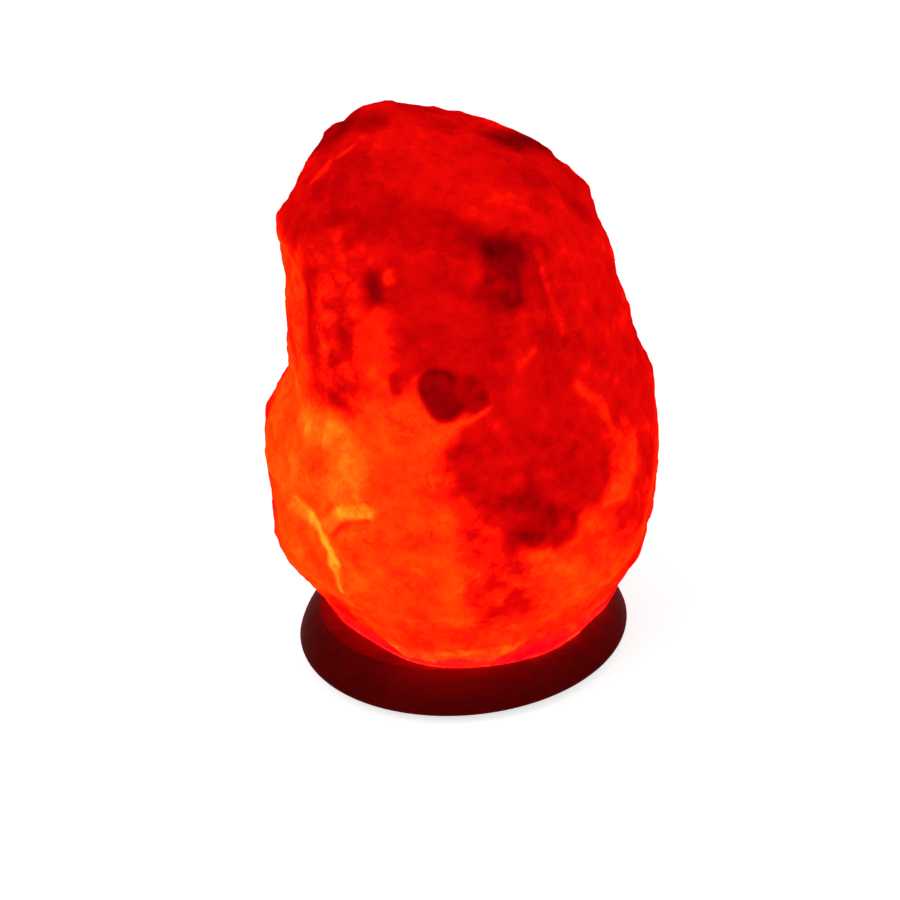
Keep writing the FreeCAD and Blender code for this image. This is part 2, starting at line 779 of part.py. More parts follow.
def make_clips(doc):
    """Three bent spring strips that grip the hole in the base."""
    nodes = []
    for index in range(CLIP_COUNT):
        body = new_body(doc, "spring_clip_%d" % (index + 1))
        name = body.Name
        strip = new_sketch(body, name + "_outline", "XZ_Plane")
        draw_outline(strip, [
            ("clip_foot_reach", "ceiling_level"),
            ("clip_bend_reach", "ceiling_level"),
            ("clip_face", "ceiling_level + clip_grip_height"),
            ("clip_tip_reach", "ceiling_level + clip_height"),
            ("clip_tip_reach - clip_thickness", "ceiling_level + clip_height"),
            ("clip_face - clip_thickness", "ceiling_level + clip_grip_height"),
            ("clip_bend_reach - clip_thickness", "ceiling_level + clip_thickness"),
            ("clip_foot_reach", "ceiling_level + clip_thickness"),
        ])
        pad(body, name + "_strip", strip, "clip_width", both_ways=True)
        doc.recompute()
        circle = new_sketch(body, name + "_hole_outline", "XY_Plane")
        draw_circle(circle, "rivet_radius + rivet_gap", "rivet_reach", "0")
        pocket_up(body, name + "_hole", circle, "ceiling_level + clip_thickness + overrun")
        turn_body(body, "clip_first_angle + %.9f" % (index * 360 / CLIP_COUNT))
        nodes.append(body)
    return nodes


def make_rivets(doc):
    """Three rivets through the clips' feet and the plate."""
    body = new_body(doc, "clip_rivets")
    under = "plate_under_level"
    over = "ceiling_level + clip_thickness"
    rivet = revolve(body, "rivet_turned", [
        ("0", under + " - rivet_head_height"),
        ("rivet_head_radius", under + " - rivet_head_height"),
        ("rivet_head_radius", under),
        ("rivet_radius", under),
        ("rivet_radius", over),
        ("rivet_head_radius", over),
        ("rivet_head_radius", over + " + rivet_head_height"),
        ("0", over + " + rivet_head_height"),
    ], reach="rivet_reach")
    doc.recompute()
    repeat_round(body, [rivet], CLIP_COUNT)
    turn_body(body, "clip_first_angle")
    return body


def make_nipple(doc):
    """The threaded tube that joins the holder to the plate and lets the leads through."""
    body = new_body(doc, "holder_nipple")
    low = "plate_under_level - nipple_below"
    high = "ceiling_level + nipple_above"
    revolve(body, "nipple_turned", [
        ("nipple_bore_radius", low),
        ("nipple_radius", low),
        ("nipple_radius", high),
        ("nipple_bore_radius", high),
    ])
    return body


def make_nut(doc):
    """The lock nut under the plate."""
    blank = doc.addObject("Part::Prism", "nut_blank")
    blank.Polygon = NUT_SIDES
    low = "plate_under_level - nut_thickness"
    set_sizes(blank, Circumradius="nut_across_flats / 2 / cos(half_turn / %d)" % NUT_SIDES,
              Height="nut_thickness", Placement__Base__z=low)
    bore = doc.addObject("Part::Cylinder", "nut_bore")
    set_sizes(bore, Radius="nipple_radius + thread_gap", Height="nut_thickness + 2 * overrun",
              Placement__Base__z=low + " - overrun")
    nut = doc.addObject("Part::Cut", "nipple_nut")
    nut.Base = blank
    nut.Tool = bore
    return nut


def make_holder_cap(doc):
    """The lower half of the lamp holder, a cup with a spigot on its rim."""
    body = new_body(doc, "holder_cap")
    inner = "spigot_radius - cap_spigot_wall"
    revolve(body, "holder_cap_turned", [
        ("nipple_radius + thread_gap", "ceiling_level"),
        ("holder_radius", "ceiling_level"),
        ("holder_radius", "cap_rim_level"),
        ("spigot_radius", "cap_rim_level"),
        ("spigot_radius", "insert_level"),
        (inner, "insert_level"),
        (inner, "cap_floor_level"),
        ("nipple_radius + thread_gap", "cap_floor_level"),
    ])
    return body


def make_holder_body(doc):
    """The upper shell of the lamp holder, with a lip at its mouth."""
    body = new_body(doc, "holder_body")
    revolve(body, "holder_body_turned", [
        ("holder_bore_radius", "cap_rim_level"),
        ("holder_radius", "cap_rim_level"),
        ("holder_radius", "holder_top_level"),
        ("mouth_radius", "holder_top_level"),
        ("mouth_radius", "mouth_level"),
        ("holder_bore_radius", "mouth_level"),
    ])
    return body


def blade_slot(body, name, outer, inner):
    """Cut an upright slot for a contact's blade through the insert."""
    sketch = new_sketch(body, name + "_outline", "XY_Plane")
    half = "(contact_width / 2 + contact_slot_gap)"
    near = inner + " - contact_slot_gap"
    far = outer + " + contact_slot_gap"
    draw_outline(sketch, [(near, "-" + half), (far, "-" + half), (far, half), (near, half)])
    return pocket_up(body, name, sketch, "insert_top_level + overrun")


def make_insert(doc):
    """The insulating block with slots for the two contacts and holes for the terminals."""
    body = new_body(doc, "contact_insert")
    revolve(body, "insert_turned", [
        ("0", "insert_level"),
        ("spigot_radius", "insert_level"),
        ("spigot_radius", "insert_top_level"),
        ("0", "insert_top_level"),
    ])
    doc.recompute()
    blade_slot(body, "centre_slot", "-centre_blade_reach + contact_thickness", "-centre_blade_reach")
    doc.recompute()
    blade_slot(body, "side_slot", "side_blade_reach", "side_blade_reach - contact_thickness")
    doc.recompute()
    holes = new_sketch(body, "terminal_hole_outline", "XY_Plane")
    for reach in TERMINAL_REACHES:
        draw_circle(holes, "terminal_shank_radius + terminal_gap", reach, "0")
    pocket_up(body, "terminal_holes", holes, "insert_level + terminal_depth")
    return body


def threaded_solid(doc, low, high, start_radius, swell):
    """Return a solid with the round lamp thread on its side: a right-hand screw, made as a
    ruled loft through circles whose centres go round the axis as they climb.  The circles
    start and end on the axis at start_radius, and swell is 1 where the thread stands out
    from that radius and -1 where it is pressed in."""
    half = number(doc, "thread_depth") / 2
    pitch = number(doc, "thread_pitch")
    fade_height = number(doc, "thread_fade")
    rows = int(math.ceil((high - low) / pitch * THREAD_STEPS_PER_PITCH))
    rings = []
    for row in range(rows + 1):
        level = low + (high - low) * row / rows
        share = max(min((level - low) / fade_height, (high - level) / fade_height, 1.0), 0.0)
        throw = half * share * share * (3 - 2 * share)
        turn = 2 * math.pi * level / pitch
        centre = FreeCAD.Vector(throw * math.cos(turn), throw * math.sin(turn), level)
        rings.append(Part.Wire([Part.makeCircle(start_radius + swell * throw, centre)]))
    return Part.makeLoft(rings, True, True)


def make_shell(doc):
    """The brass screw shell: a thin wall that follows the lamp thread, on a flat ring."""
    bore = number(doc, "thread_major_radius + thread_play")
    wall = number(doc, "shell_wall")
    low = number(doc, "shell_base_level")
    high = number(doc, "shell_top_level")
    sleeve = threaded_solid(doc, low, high, bore + wall, -1)
    sleeve = sleeve.cut(threaded_solid(doc, low, high, bore, -1))
    ring_base = FreeCAD.Vector(0, 0, number(doc, "insert_top_level"))
    ring = Part.makeCylinder(bore + wall, wall, ring_base)
    ring = ring.cut(Part.makeCylinder(number(doc, "shell_floor_radius"), wall, ring_base))
    shell = doc.addObject("Part::Feature", "screw_shell")
    shell.Shape = sleeve.fuse(ring)
    return shell


def make_centre_contact(doc):
    """The leaf under the bulb's tip: a tab below the insert, a blade up through it, a leaf."""
    body = new_body(doc, "centre_contact")
    leaf = new_sketch(body, "centre_contact_outline", "XZ_Plane")
    outer = "-centre_blade_reach"
    inner = "-centre_blade_reach + contact_thickness"
    tab_end = "-centre_terminal_reach - tab_margin"
    draw_outline(leaf, [
        (tab_end, "insert_level - contact_thickness"),
        (inner, "insert_level - contact_thickness"),
        (inner, "insert_top_level"),
        ("-contact_pad", "contact_top_level - contact_thickness"),
        ("contact_pad", "contact_top_level - contact_thickness"),
        ("contact_pad", "contact_top_level"),
        ("-contact_pad - contact_thickness / 2", "contact_top_level"),
        (outer, "insert_top_level + contact_thickness"),
        (outer, "insert_level"),
        (tab_end, "insert_level"),
    ])
    pad(body, "centre_contact_strip", leaf, "contact_width", both_ways=True)
    doc.recompute()
    cut_terminal_hole(body, "-centre_terminal_reach")
    return body


def make_side_contact(doc):
    """The strip that joins the other terminal to the screw shell's ring."""
    body = new_body(doc, "side_contact")
    strip = new_sketch(body, "side_contact_outline", "XZ_Plane")
    inner = "side_blade_reach - contact_thickness"
    tab_end = "side_terminal_reach - tab_margin"
    draw_outline(strip, [
        (tab_end, "insert_level - contact_thickness"),
        ("side_blade_reach", "insert_level - contact_thickness"),
        ("side_blade_reach", "insert_top_level"),
        (inner, "insert_top_level"),
        (inner, "insert_level"),
        (tab_end, "insert_level"),
    ])
    pad(body, "side_contact_strip", strip, "contact_width", both_ways=True)
    doc.recompute()
    cut_terminal_hole(body, "side_terminal_reach")
    return body


def cut_terminal_hole(body, reach):
    """Cut the terminal screw's hole through a contact's tab."""
    circle = new_sketch(body, body.Name + "_hole_outline", "XY_Plane")
    draw_circle(circle, "terminal_shank_radius + terminal_gap", reach, "0")
    pocket_up(body, body.Name + "_hole", circle, "insert_level")


def make_terminal_screws(doc):
    """Two terminal screws up into the insert."""
    body = new_body(doc, "terminal_screws")
    under = "insert_level - contact_thickness"
    for index, reach in enumerate(TERMINAL_REACHES):
        revolve(body, "terminal_turned_%d" % (index + 1), [
            ("0", under + " - terminal_head_height"),
            ("terminal_head_radius", under + " - terminal_head_height"),
            ("terminal_head_radius", under),
            ("terminal_shank_radius", under),
            ("terminal_shank_radius", "insert_level + terminal_depth - terminal_gap"),
            ("0", "insert_level + terminal_depth - terminal_gap"),
        ], reach=reach)
        doc.recompute()
    return body


def make_bulb_cap(doc):
    """The bulb's threaded cap: a tube with the lamp thread outside and a flared skirt on top."""
    root = number(doc, "thread_minor_radius")
    low = number(doc, "bulb_cap_level")
    high = number(doc, "skirt_level")
    thread = threaded_solid(doc, low, high, root, 1)
    skirt_base = FreeCAD.Vector(0, 0, high)
    skirt = Part.makeCone(root, number(doc, "skirt_radius"), number(doc, "skirt_height"), skirt_base)
    bore_base = FreeCAD.Vector(0, 0, low)
    bore_height = number(doc, "bulb_cap_top_level - bulb_cap_level")
    bore = Part.makeCylinder(number(doc, "bulb_cap_bore_radius"), bore_height, bore_base)
    cap = doc.addObject("Part::Feature", "bulb_cap")
    cap.Shape = thread.fuse(skirt).cut(bore)
    return cap


def make_bulb_insulator(doc):
    """The dark glass ring that closes the cap and holds the tip."""
    body = new_body(doc, "bulb_insulator")
    revolve(body, "bulb_insulator_turned", [
        ("0", "insulator_level"),
        ("tip_radius", "insulator_level"),
        ("thread_minor_radius", "bulb_cap_level"),
        ("0", "bulb_cap_level"),
    ])
    return body


def make_bulb_tip(doc):
    """The solder bead at the end of the cap."""
    body = new_body(doc, "bulb_tip")
    revolve(body, "bulb_tip_turned", [
        ("0", "tip_level"),
        ("tip_radius / 2", "tip_level"),
        ("tip_radius", "tip_level + tip_height / 2"),
        ("tip_radius", "insulator_level"),
        ("0", "insulator_level"),
    ])
    return body


def make_bulb_glass(doc):
    """The blown glass envelope: a neck in the cap, a flare and a round top, hollow."""
    body = new_body(doc, "bulb_glass")
    revolve(body, "bulb_glass_turned", [
        ("neck_inner_radius", "neck_level"),
        ("neck_radius", "neck_level"),
        ("neck_radius", "neck_end_level", "glass_flare_curve", 1),
        ("glass_radius", "glass_centre_level", "glass_radius", 1),
        ("0", "glass_centre_level + glass_radius"),
        ("0", "glass_centre_level + glass_inner_radius", "glass_inner_radius", -1),
        ("glass_inner_radius", "glass_centre_level", "glass_flare_curve", -1),
        ("neck_inner_radius", "neck_end_level"),
    ])
    return body


def make_bulb_stem(doc):
    """The glass stem that carries the wires, sealed into the neck."""
    body = new_body(doc, "bulb_stem")
    revolve(body, "bulb_stem_turned", [
        ("0", "neck_level"),
        ("neck_inner_radius", "neck_level"),
        ("stem_foot_radius", "neck_level + stem_foot_height / 2"),
        ("stem_radius", "neck_level + stem_foot_height"),
        ("stem_radius", "stem_top_level"),
        ("0", "stem_top_level"),
    ])
    return body


def make_bulb_wires(doc):
    """The two lead wires that spread from the stem's end to the filament."""
    body = new_body(doc, "bulb_support_wires")
    outer = "filament_half_span"
    wire = new_sketch(body, "lead_wire_path", "XZ_Plane")
    add_path(wire, [("lead_wire_foot", "stem_top_level"), (outer, "filament_level")])
    ring = new_sketch(body, "lead_wire_round", "XY_Plane")
    ring.setExpression("AttachmentOffset.Base.z", formula("stem_top_level"))
    draw_circle(ring, "lead_wire_radius", "lead_wire_foot", "0")
    pipe = body.newObject("PartDesign::AdditivePipe", "lead_wire")
    pipe.Profile = ring
    pipe.Spine = (wire, ["Edge1"])
    doc.recompute()
    repeat_round(body, [pipe], LEAD_WIRE_COUNT)
    return body


def add_path(sketch, points):
    """Draw an open run of straight lines through points given by formulas."""
    doc = sketch.Document
    spots = [FreeCAD.Vector(number(doc, p[0]), number(doc, p[1]), 0) for p in points]
    for index in range(len(points) - 1):
        line = sketch.addGeometry(Part.LineSegment(spots[index], spots[index + 1]), False)
        place_point(sketch, line, 1, points[index][0], points[index][1])
        if index:
            sketch.addConstraint(Sketcher.Constraint("Coincident", line - 1, 2, line, 1))
    place_point(sketch, line, 2, points[-1][0], points[-1][1])


def make_filament(doc):
    """The filament, as the bowed rod that its fine coil fills, hung between the wires' ends."""
    half = number(doc, "filament_half_span")
    level = number(doc, "filament_level") + number(doc, "filament_radius")
    sag = number(doc, "filament_sag")
    ends = [FreeCAD.Vector(side * half, 0, level) for side in (-1, 1)]
    bow = Part.Arc(ends[0], FreeCAD.Vector(0, 0, level + sag), ends[1]).toShape()
    start = bow.valueAt(bow.FirstParameter)
    along = bow.tangentAt(bow.FirstParameter)
    section = Part.Wire([Part.makeCircle(number(doc, "filament_radius"), start, along)])
    filament = doc.addObject("Part::Feature", "bulb_filament")
    filament.Shape = Part.Wire([bow]).makePipeShell([section], True, False)
    return filament


def make_lamp(doc):
    """Make every piece and return the nodes."""
    nodes = make_feet(doc)
    nodes += [make_base(doc), make_bush(doc), make_fixing_screws(doc), make_anchors(doc)]
    nodes += [make_stone(doc), make_plate(doc)]
    nodes += make_clips(doc)
    nodes += [make_rivets(doc), make_nipple(doc), make_nut(doc)]
    nodes += [make_holder_cap(doc), make_holder_body(doc), make_insert(doc), make_shell(doc)]
    nodes += [make_centre_contact(doc), make_side_contact(doc), make_terminal_screws(doc)]
    nodes += [make_bulb_cap(doc), make_bulb_insulator(doc), make_bulb_tip(doc)]
    nodes += [make_bulb_glass(doc), make_bulb_stem(doc), make_bulb_wires(doc), make_filament(doc)]
    return nodes


def check(doc, nodes):
    """Stop if any object failed or any node's shape is empty or broken."""
    for thing in doc.Objects:
        if "Invalid" in thing.State or "Error" in thing.State:
            raise RuntimeError("%s failed: %s" % (thing.Name, thing.State))
    for node in nodes:
        if node.Shape.isNull() or not node.Shape.isValid():
            raise RuntimeError("%s has no valid shape" % node.Label)


def main():
    """Build the lamp and write one file per node."""
    os.makedirs("parts", exist_ok=True)
    doc = FreeCAD.newDocument("SaltCrystalLamp")
    make_sheet(doc)
    nodes = make_lamp(doc)
    doc.recompute()
    check(doc, nodes)
    for node in nodes:
        node.Shape.exportStep("parts/%s.step" % node.Label)
        box = node.Shape.BoundBox
        print("%-20s %2d solids  volume %10.2f  z %.2f to %.2f" % (
            node.Label, len(node.Shape.Solids), node.Shape.Volume, box.ZMin, box.ZMax))


main()
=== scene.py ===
"""Looks of a salt crystal lamp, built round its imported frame.

A rough block of rock salt glows from inside on a turned wooden base, and a sprung holder pushes a
small screw-in bulb up into its hollow. Blender's units are metres; the classes below hold their
sizes in millimetres, but for the studio's, +Z up, -Y to the front, with the table at zero.
"""

import itertools
import json
import logging
import math
from dataclasses import dataclass
from enum import Enum, IntEnum

import bpy
import numpy as np
from mathutils import Matrix, Vector

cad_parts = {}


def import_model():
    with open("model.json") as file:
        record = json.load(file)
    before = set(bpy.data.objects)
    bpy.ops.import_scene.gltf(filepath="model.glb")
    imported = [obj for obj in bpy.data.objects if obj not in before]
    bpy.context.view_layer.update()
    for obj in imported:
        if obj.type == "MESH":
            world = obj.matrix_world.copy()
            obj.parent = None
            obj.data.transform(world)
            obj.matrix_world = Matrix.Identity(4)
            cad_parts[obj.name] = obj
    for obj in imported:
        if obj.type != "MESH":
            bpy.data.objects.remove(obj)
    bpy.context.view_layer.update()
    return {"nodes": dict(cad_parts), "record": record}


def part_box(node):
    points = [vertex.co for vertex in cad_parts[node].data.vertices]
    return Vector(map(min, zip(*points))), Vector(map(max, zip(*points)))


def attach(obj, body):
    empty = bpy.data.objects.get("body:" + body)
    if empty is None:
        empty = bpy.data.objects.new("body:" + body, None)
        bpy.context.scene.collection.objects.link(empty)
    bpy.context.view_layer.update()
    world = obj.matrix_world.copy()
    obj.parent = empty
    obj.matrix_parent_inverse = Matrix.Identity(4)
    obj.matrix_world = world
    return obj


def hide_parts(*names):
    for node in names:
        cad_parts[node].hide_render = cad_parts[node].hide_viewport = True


LOG = logging.getLogger("salt_lamp")
MM = 0.001

Point = tuple[float, float, float]
Colour = tuple[float, float, float]


# ---------------------------------------------------------------- irregular numbers

UNEVEN_STEPS = (12.9898, 78.233, 37.719)
UNEVEN_SCATTER = 43758.5453
SEED_STEP = 7
LAYER_SEED_STEP = 17


class Seed(IntEnum):
    """What each irregular pattern is for, and the number that tells it from the others."""

    LUMPS = 0
    SMALL_LUMPS = 9
    GRIT = 23
    SCALLOPS = 31
    CHIPS = 41
    CLOUDS = 61
    BLOTCHES = 67
    HAIRLINES = 71
    FLECKS = 73
    CHIP_DRIFT = 77
    EDGES = 200


def scatter(cells: np.ndarray, seed: int) -> np.ndarray:
    """Give each whole-numbered cell a fixed irregular number from -1 to 1.

    Twice the part after the point of 43758.5453 * sin(12.9898 i + 78.233 j + 37.719 k + 7 seed),
    less one.

    Args:
        cells: whole numbers, three to a cell.
        seed: tells one set of numbers from another.

    Returns:
        One number for each cell.
    """
    wave = np.sin(cells @ np.array(UNEVEN_STEPS) + SEED_STEP * seed) * UNEVEN_SCATTER
    return 2 * (wave - np.floor(wave)) - 1


def lattice_noise(points: np.ndarray, cell: float, seed: int) -> np.ndarray:
    """Smooth irregular numbers from -1 to 1 over space.

    Each corner of a cubic lattice has a number of its own, and a point's number is the mix of its
    cell's eight corners, weighted by the smooth step 3t^2 - 2t^3 along each axis.

    Args:
        points: places, three numbers each.
        cell: the lattice's pitch.
        seed: tells one noise from another.

    Returns:
        One number for each point.
    """
    scaled = points / cell
    corner = np.floor(scaled)
    part = scaled - corner
    weight = part * part * (3 - 2 * part)
    total = np.zeros(points.shape[:-1])
    for offset in itertools.product((0, 1), repeat=3):
        share = np.where(np.array(offset), weight, 1 - weight).prod(axis=-1)
        total += share * scatter(corner + np.array(offset), seed)
    return total


def layered_noise(points: np.ndarray, cell: float, seed: int, layers: int = 3) -> np.ndarray:
    """Sum of lattice noises, each at half the pitch and half the height of the one before."""
    seeds = [seed + LAYER_SEED_STEP * n for n in range(layers)]
    return sum(lattice_noise(points, cell / 2**n, seeds[n]) / 2**n for n in range(layers))


def grain_distance(points: np.ndarray, cell: float, seed: int) -> np.ndarray:
    """Distance to the nearest of the grains strewn through space.

    Each cubic cell holds one grain at an irregular place, and the 27 cells round a point are
    searched.

    Args:
        points: places, three numbers each.
        cell: the pitch of the cells.
        seed: tells one strewing from another.

    Returns:
        One distance for each point, as a share of the pitch.
    """
    scaled = points / cell
    home = np.floor(scaled)
    nearest = np.full(points.shape[:-1], np.inf)
    for offset in itertools.product((-1, 0, 1), repeat=3):
        around = home + np.array(offset)
        grain = np.stack([0.5 + 0.5 * scatter(around, seed + axis) for axis in range(3)], axis=-1)
        nearest = np.minimum(nearest, np.linalg.norm(around + grain - scaled, axis=-1))
    return nearest


def smooth_step(value: np.ndarray, low: float, high: float) -> np.ndarray:
    """Rise smoothly from 0 at low to 1 at high, as 3t^2 - 2t^3."""
    share = np.clip((value - low) / (high - low), 0, 1)
    return share * share * (3 - 2 * share)


def smooth_through(knots: np.ndarray, rows: int) -> np.ndarray:
    """Carry a smooth line through knots and divide it evenly.

    Each stretch is a cubic whose slopes at its ends are the central differences of the knots, over
    the length of the broken line through them.

    Args:
        knots: one row of numbers for each knot.
        rows: how many rows to return.

    Returns:
        The numbers at evenly spaced places along the line.
    """
    lengths = np.linalg.norm(np.diff(knots, axis=0), axis=1)
    along = np.concatenate(([0.0], np.cumsum(lengths)))
    slopes = np.gradient(knots, along, axis=0)
    places = np.linspace(0, along[-1], rows)
    index = np.clip(np.searchsorted(along, places, side="right") - 1, 0, len(knots) - 2)
    run = (along[index + 1] - along[index])[:, None]
    t = (places - along[index])[:, None] / run
    return (
        (2 * t**3 - 3 * t**2 + 1) * knots[index]
        + (t**3 - 2 * t**2 + t) * run * slopes[index]
        + (3 * t**2 - 2 * t**3) * knots[index + 1]
        + (t**3 - t**2) * run * slopes[index + 1]
    )


# ---------------------------------------------------------------- meshes


def skin(
    name: str,
    rings: np.ndarray,
    start: Point | None = None,
    end: Point | None = None,
    joined: bool = False,
) -> bpy.types.Object:
    """Make a mesh object from rings of points, with a four-sided face between neighbours.

    Args:
        name: the object's name.
        rings: places in millimetres, ring by ring; each ring closes on itself and runs
            anticlockwise seen from the way that the rings climb.
        start: a pole that closes the first ring, if it closes.
        end: a pole that closes the last ring, if it closes.
        joined: whether the last ring meets the first, as on a tyre.

    Returns:
        The new object, at the origin and in the scene.
    """
    count, around = rings.shape[:2]
    index = np.arange(count * around).reshape(count, around)
    low = index if joined else index[:-1]
    high = np.roll(index, -1, axis=0) if joined else index[1:]
    quads = np.stack((low, np.roll(low, -1, 1), np.roll(high, -1, 1), high), axis=-1).reshape(-1, 4)
    places = [rings.reshape(-1, 3)]
    fans = []
    for pole, ring, turned in ((start, index[0], True), (end, index[-1], False)):
        if pole is None:
            continue
        centre = np.full(around, count * around + len(places) - 1)
        following = np.roll(ring, -1)
        pair = (following, ring) if turned else (ring, following)
        fans.append(np.stack((*pair, centre), axis=-1))
        places.append(np.array([pole], float))
    corners = [quads.ravel()] + [fan.ravel() for fan in fans]
    totals = [np.full(len(quads), 4)] + [np.full(len(fan), 3) for fan in fans]
    mesh = bpy.data.meshes.new(name)
    fill_mesh(mesh, np.concatenate(places) * MM, np.concatenate(corners), np.concatenate(totals))
    thing = bpy.data.objects.new(name, mesh)
    bpy.context.scene.collection.objects.link(thing)
    return thing


def fill_mesh(
    mesh: bpy.types.Mesh, places: np.ndarray, corners: np.ndarray, totals: np.ndarray
) -> None:
    """Put vertices and faces into an empty mesh and shade it smooth.

    Args:
        mesh: the mesh to fill.
        places: vertices, in metres.
        corners: the vertices of all faces, one face after another.
        totals: how many corners each face has.
    """
    mesh.vertices.add(len(places))
    mesh.vertices.foreach_set("co", places.astype(np.float32).ravel())
    mesh.loops.add(len(corners))
    mesh.loops.foreach_set("vertex_index", corners.astype(np.int32))
    mesh.polygons.add(len(totals))
    starts = np.concatenate(([0], np.cumsum(totals)[:-1]))
    mesh.polygons.foreach_set("loop_start", starts.astype(np.int32))
    mesh.polygons.foreach_set("use_smooth", np.ones(len(totals), bool))
    mesh.update(calc_edges=True)
    mesh.validate()


# ---------------------------------------------------------------- finishes

CLOUD_RANGE = (0.3, 0.7)  # where most of a cloudy pattern's values lie


class NodeRecipe:
    """A node tree in the making, with helpers that keep its recipe short."""

    def __init__(self, tree: bpy.types.NodeTree) -> None:
        """Take up a tree."""
        self.tree = tree

    def add(self, kind: str, settings: dict | None = None, **inputs: object) -> bpy.types.Node:
        """Add a node.

        Args:
            kind: the node's type without its ShaderNode prefix.
            settings: the node's own properties.
            **inputs: values or sockets for its inputs, spaces written as underscores.

        Returns:
            The node.
        """
        node = self.tree.nodes.new("ShaderNode" + kind)
        for name, value in (settings or {}).items():
            setattr(node, name, value)
        for name, value in inputs.items():
            self.feed(node.inputs[name.replace("_", " ")], value)
        return node

    def feed(self, socket: bpy.types.NodeSocket, value: object) -> None:
        """Link a socket to another, or set its number or colour."""
        if isinstance(value, bpy.types.NodeSocket):
            self.tree.links.new(value, socket)
        elif isinstance(value, tuple) and len(value) == 3 and socket.type == "RGBA":
            socket.default_value = (*value, 1.0)
        else:
            socket.default_value = value

    def place(self, scale: Point = (1.0, 1.0, 1.0)) -> bpy.types.NodeSocket:
        """Return the surface's place in the object's own axes, stretched."""
        coordinates = self.add("TexCoord")
        mapping = self.add("Mapping", Vector=coordinates.outputs["Object"], Scale=scale)
        return mapping.outputs["Vector"]

    def noise(
        self, place: bpy.types.NodeSocket, size: float, detail: float = 3.0, rough: float = 0.55
    ) -> bpy.types.NodeSocket:
        """Return a cloudy pattern from 0 to 1 whose features measure size millimetres."""
        node = self.add("TexNoise", Vector=place, Scale=1 / (size * MM), Detail=detail, Roughness=rough)
        return node.outputs["Fac"]

    def math(self, kind: str, first: object, second: object = 0.0) -> bpy.types.NodeSocket:
        """Return the result of one sum on two values or sockets."""
        node = self.add("Math", {"operation": kind})
        self.feed(node.inputs[0], first)
        self.feed(node.inputs[1], second)
        return node.outputs[0]

    def spread(
        self, value: bpy.types.NodeSocket, low: float, high: float, out_low: float, out_high: float
    ) -> bpy.types.NodeSocket:
        """Return value with its range low to high carried to out_low to out_high, held at the ends."""
        node = self.add("MapRange", Value=value, From_Min=low, From_Max=high)
        self.feed(node.inputs["To Min"], out_low)
        self.feed(node.inputs["To Max"], out_high)
        return node.outputs["Result"]

    def carry(self, cloud: bpy.types.NodeSocket, low: float, high: float) -> bpy.types.NodeSocket:
        """Return a cloudy pattern with most of its range carried to low to high."""
        return self.spread(cloud, *CLOUD_RANGE, low, high)

    def ramp(self, value: object, stops: tuple[tuple[float, Colour], ...]) -> bpy.types.NodeSocket:
        """Return a colour that follows value through stops of (place, colour)."""
        node = self.add("ValToRGB")
        self.feed(node.inputs["Fac"], value)
        points = node.color_ramp.elements
        while len(points) < len(stops):
            points.new(1.0)
        for point, (place, colour) in zip(points, stops):
            point.position = place
            point.color = (*colour, 1.0)
        return node.outputs["Color"]

    def bump(
        self,
        height: bpy.types.NodeSocket,
        depth: float,
        strength: float = 1.0,
        under: bpy.types.NodeSocket | None = None,
    ) -> bpy.types.NodeSocket:
        """Return normals tilted by a pattern depth millimetres deep, on top of another's."""
        node = self.add("Bump", Height=height, Distance=depth * MM, Strength=strength)
        if under is not None:
            self.feed(node.inputs["Normal"], under)
        return node.outputs["Normal"]


class Shader(NodeRecipe):
    """A node-based material in the making."""

    def __init__(self, name: str) -> None:
        """Start a material with its one surface shader."""
        self.material = bpy.data.materials.new(name)
        self.material.use_nodes = True
        super().__init__(self.material.node_tree)
        self.surface = self.tree.nodes["Principled BSDF"]

    def set(self, **inputs: object) -> None:
        """Set or link inputs of the surface shader."""
        for name, value in inputs.items():
            self.feed(self.surface.inputs[name.replace("_", " ")], value)


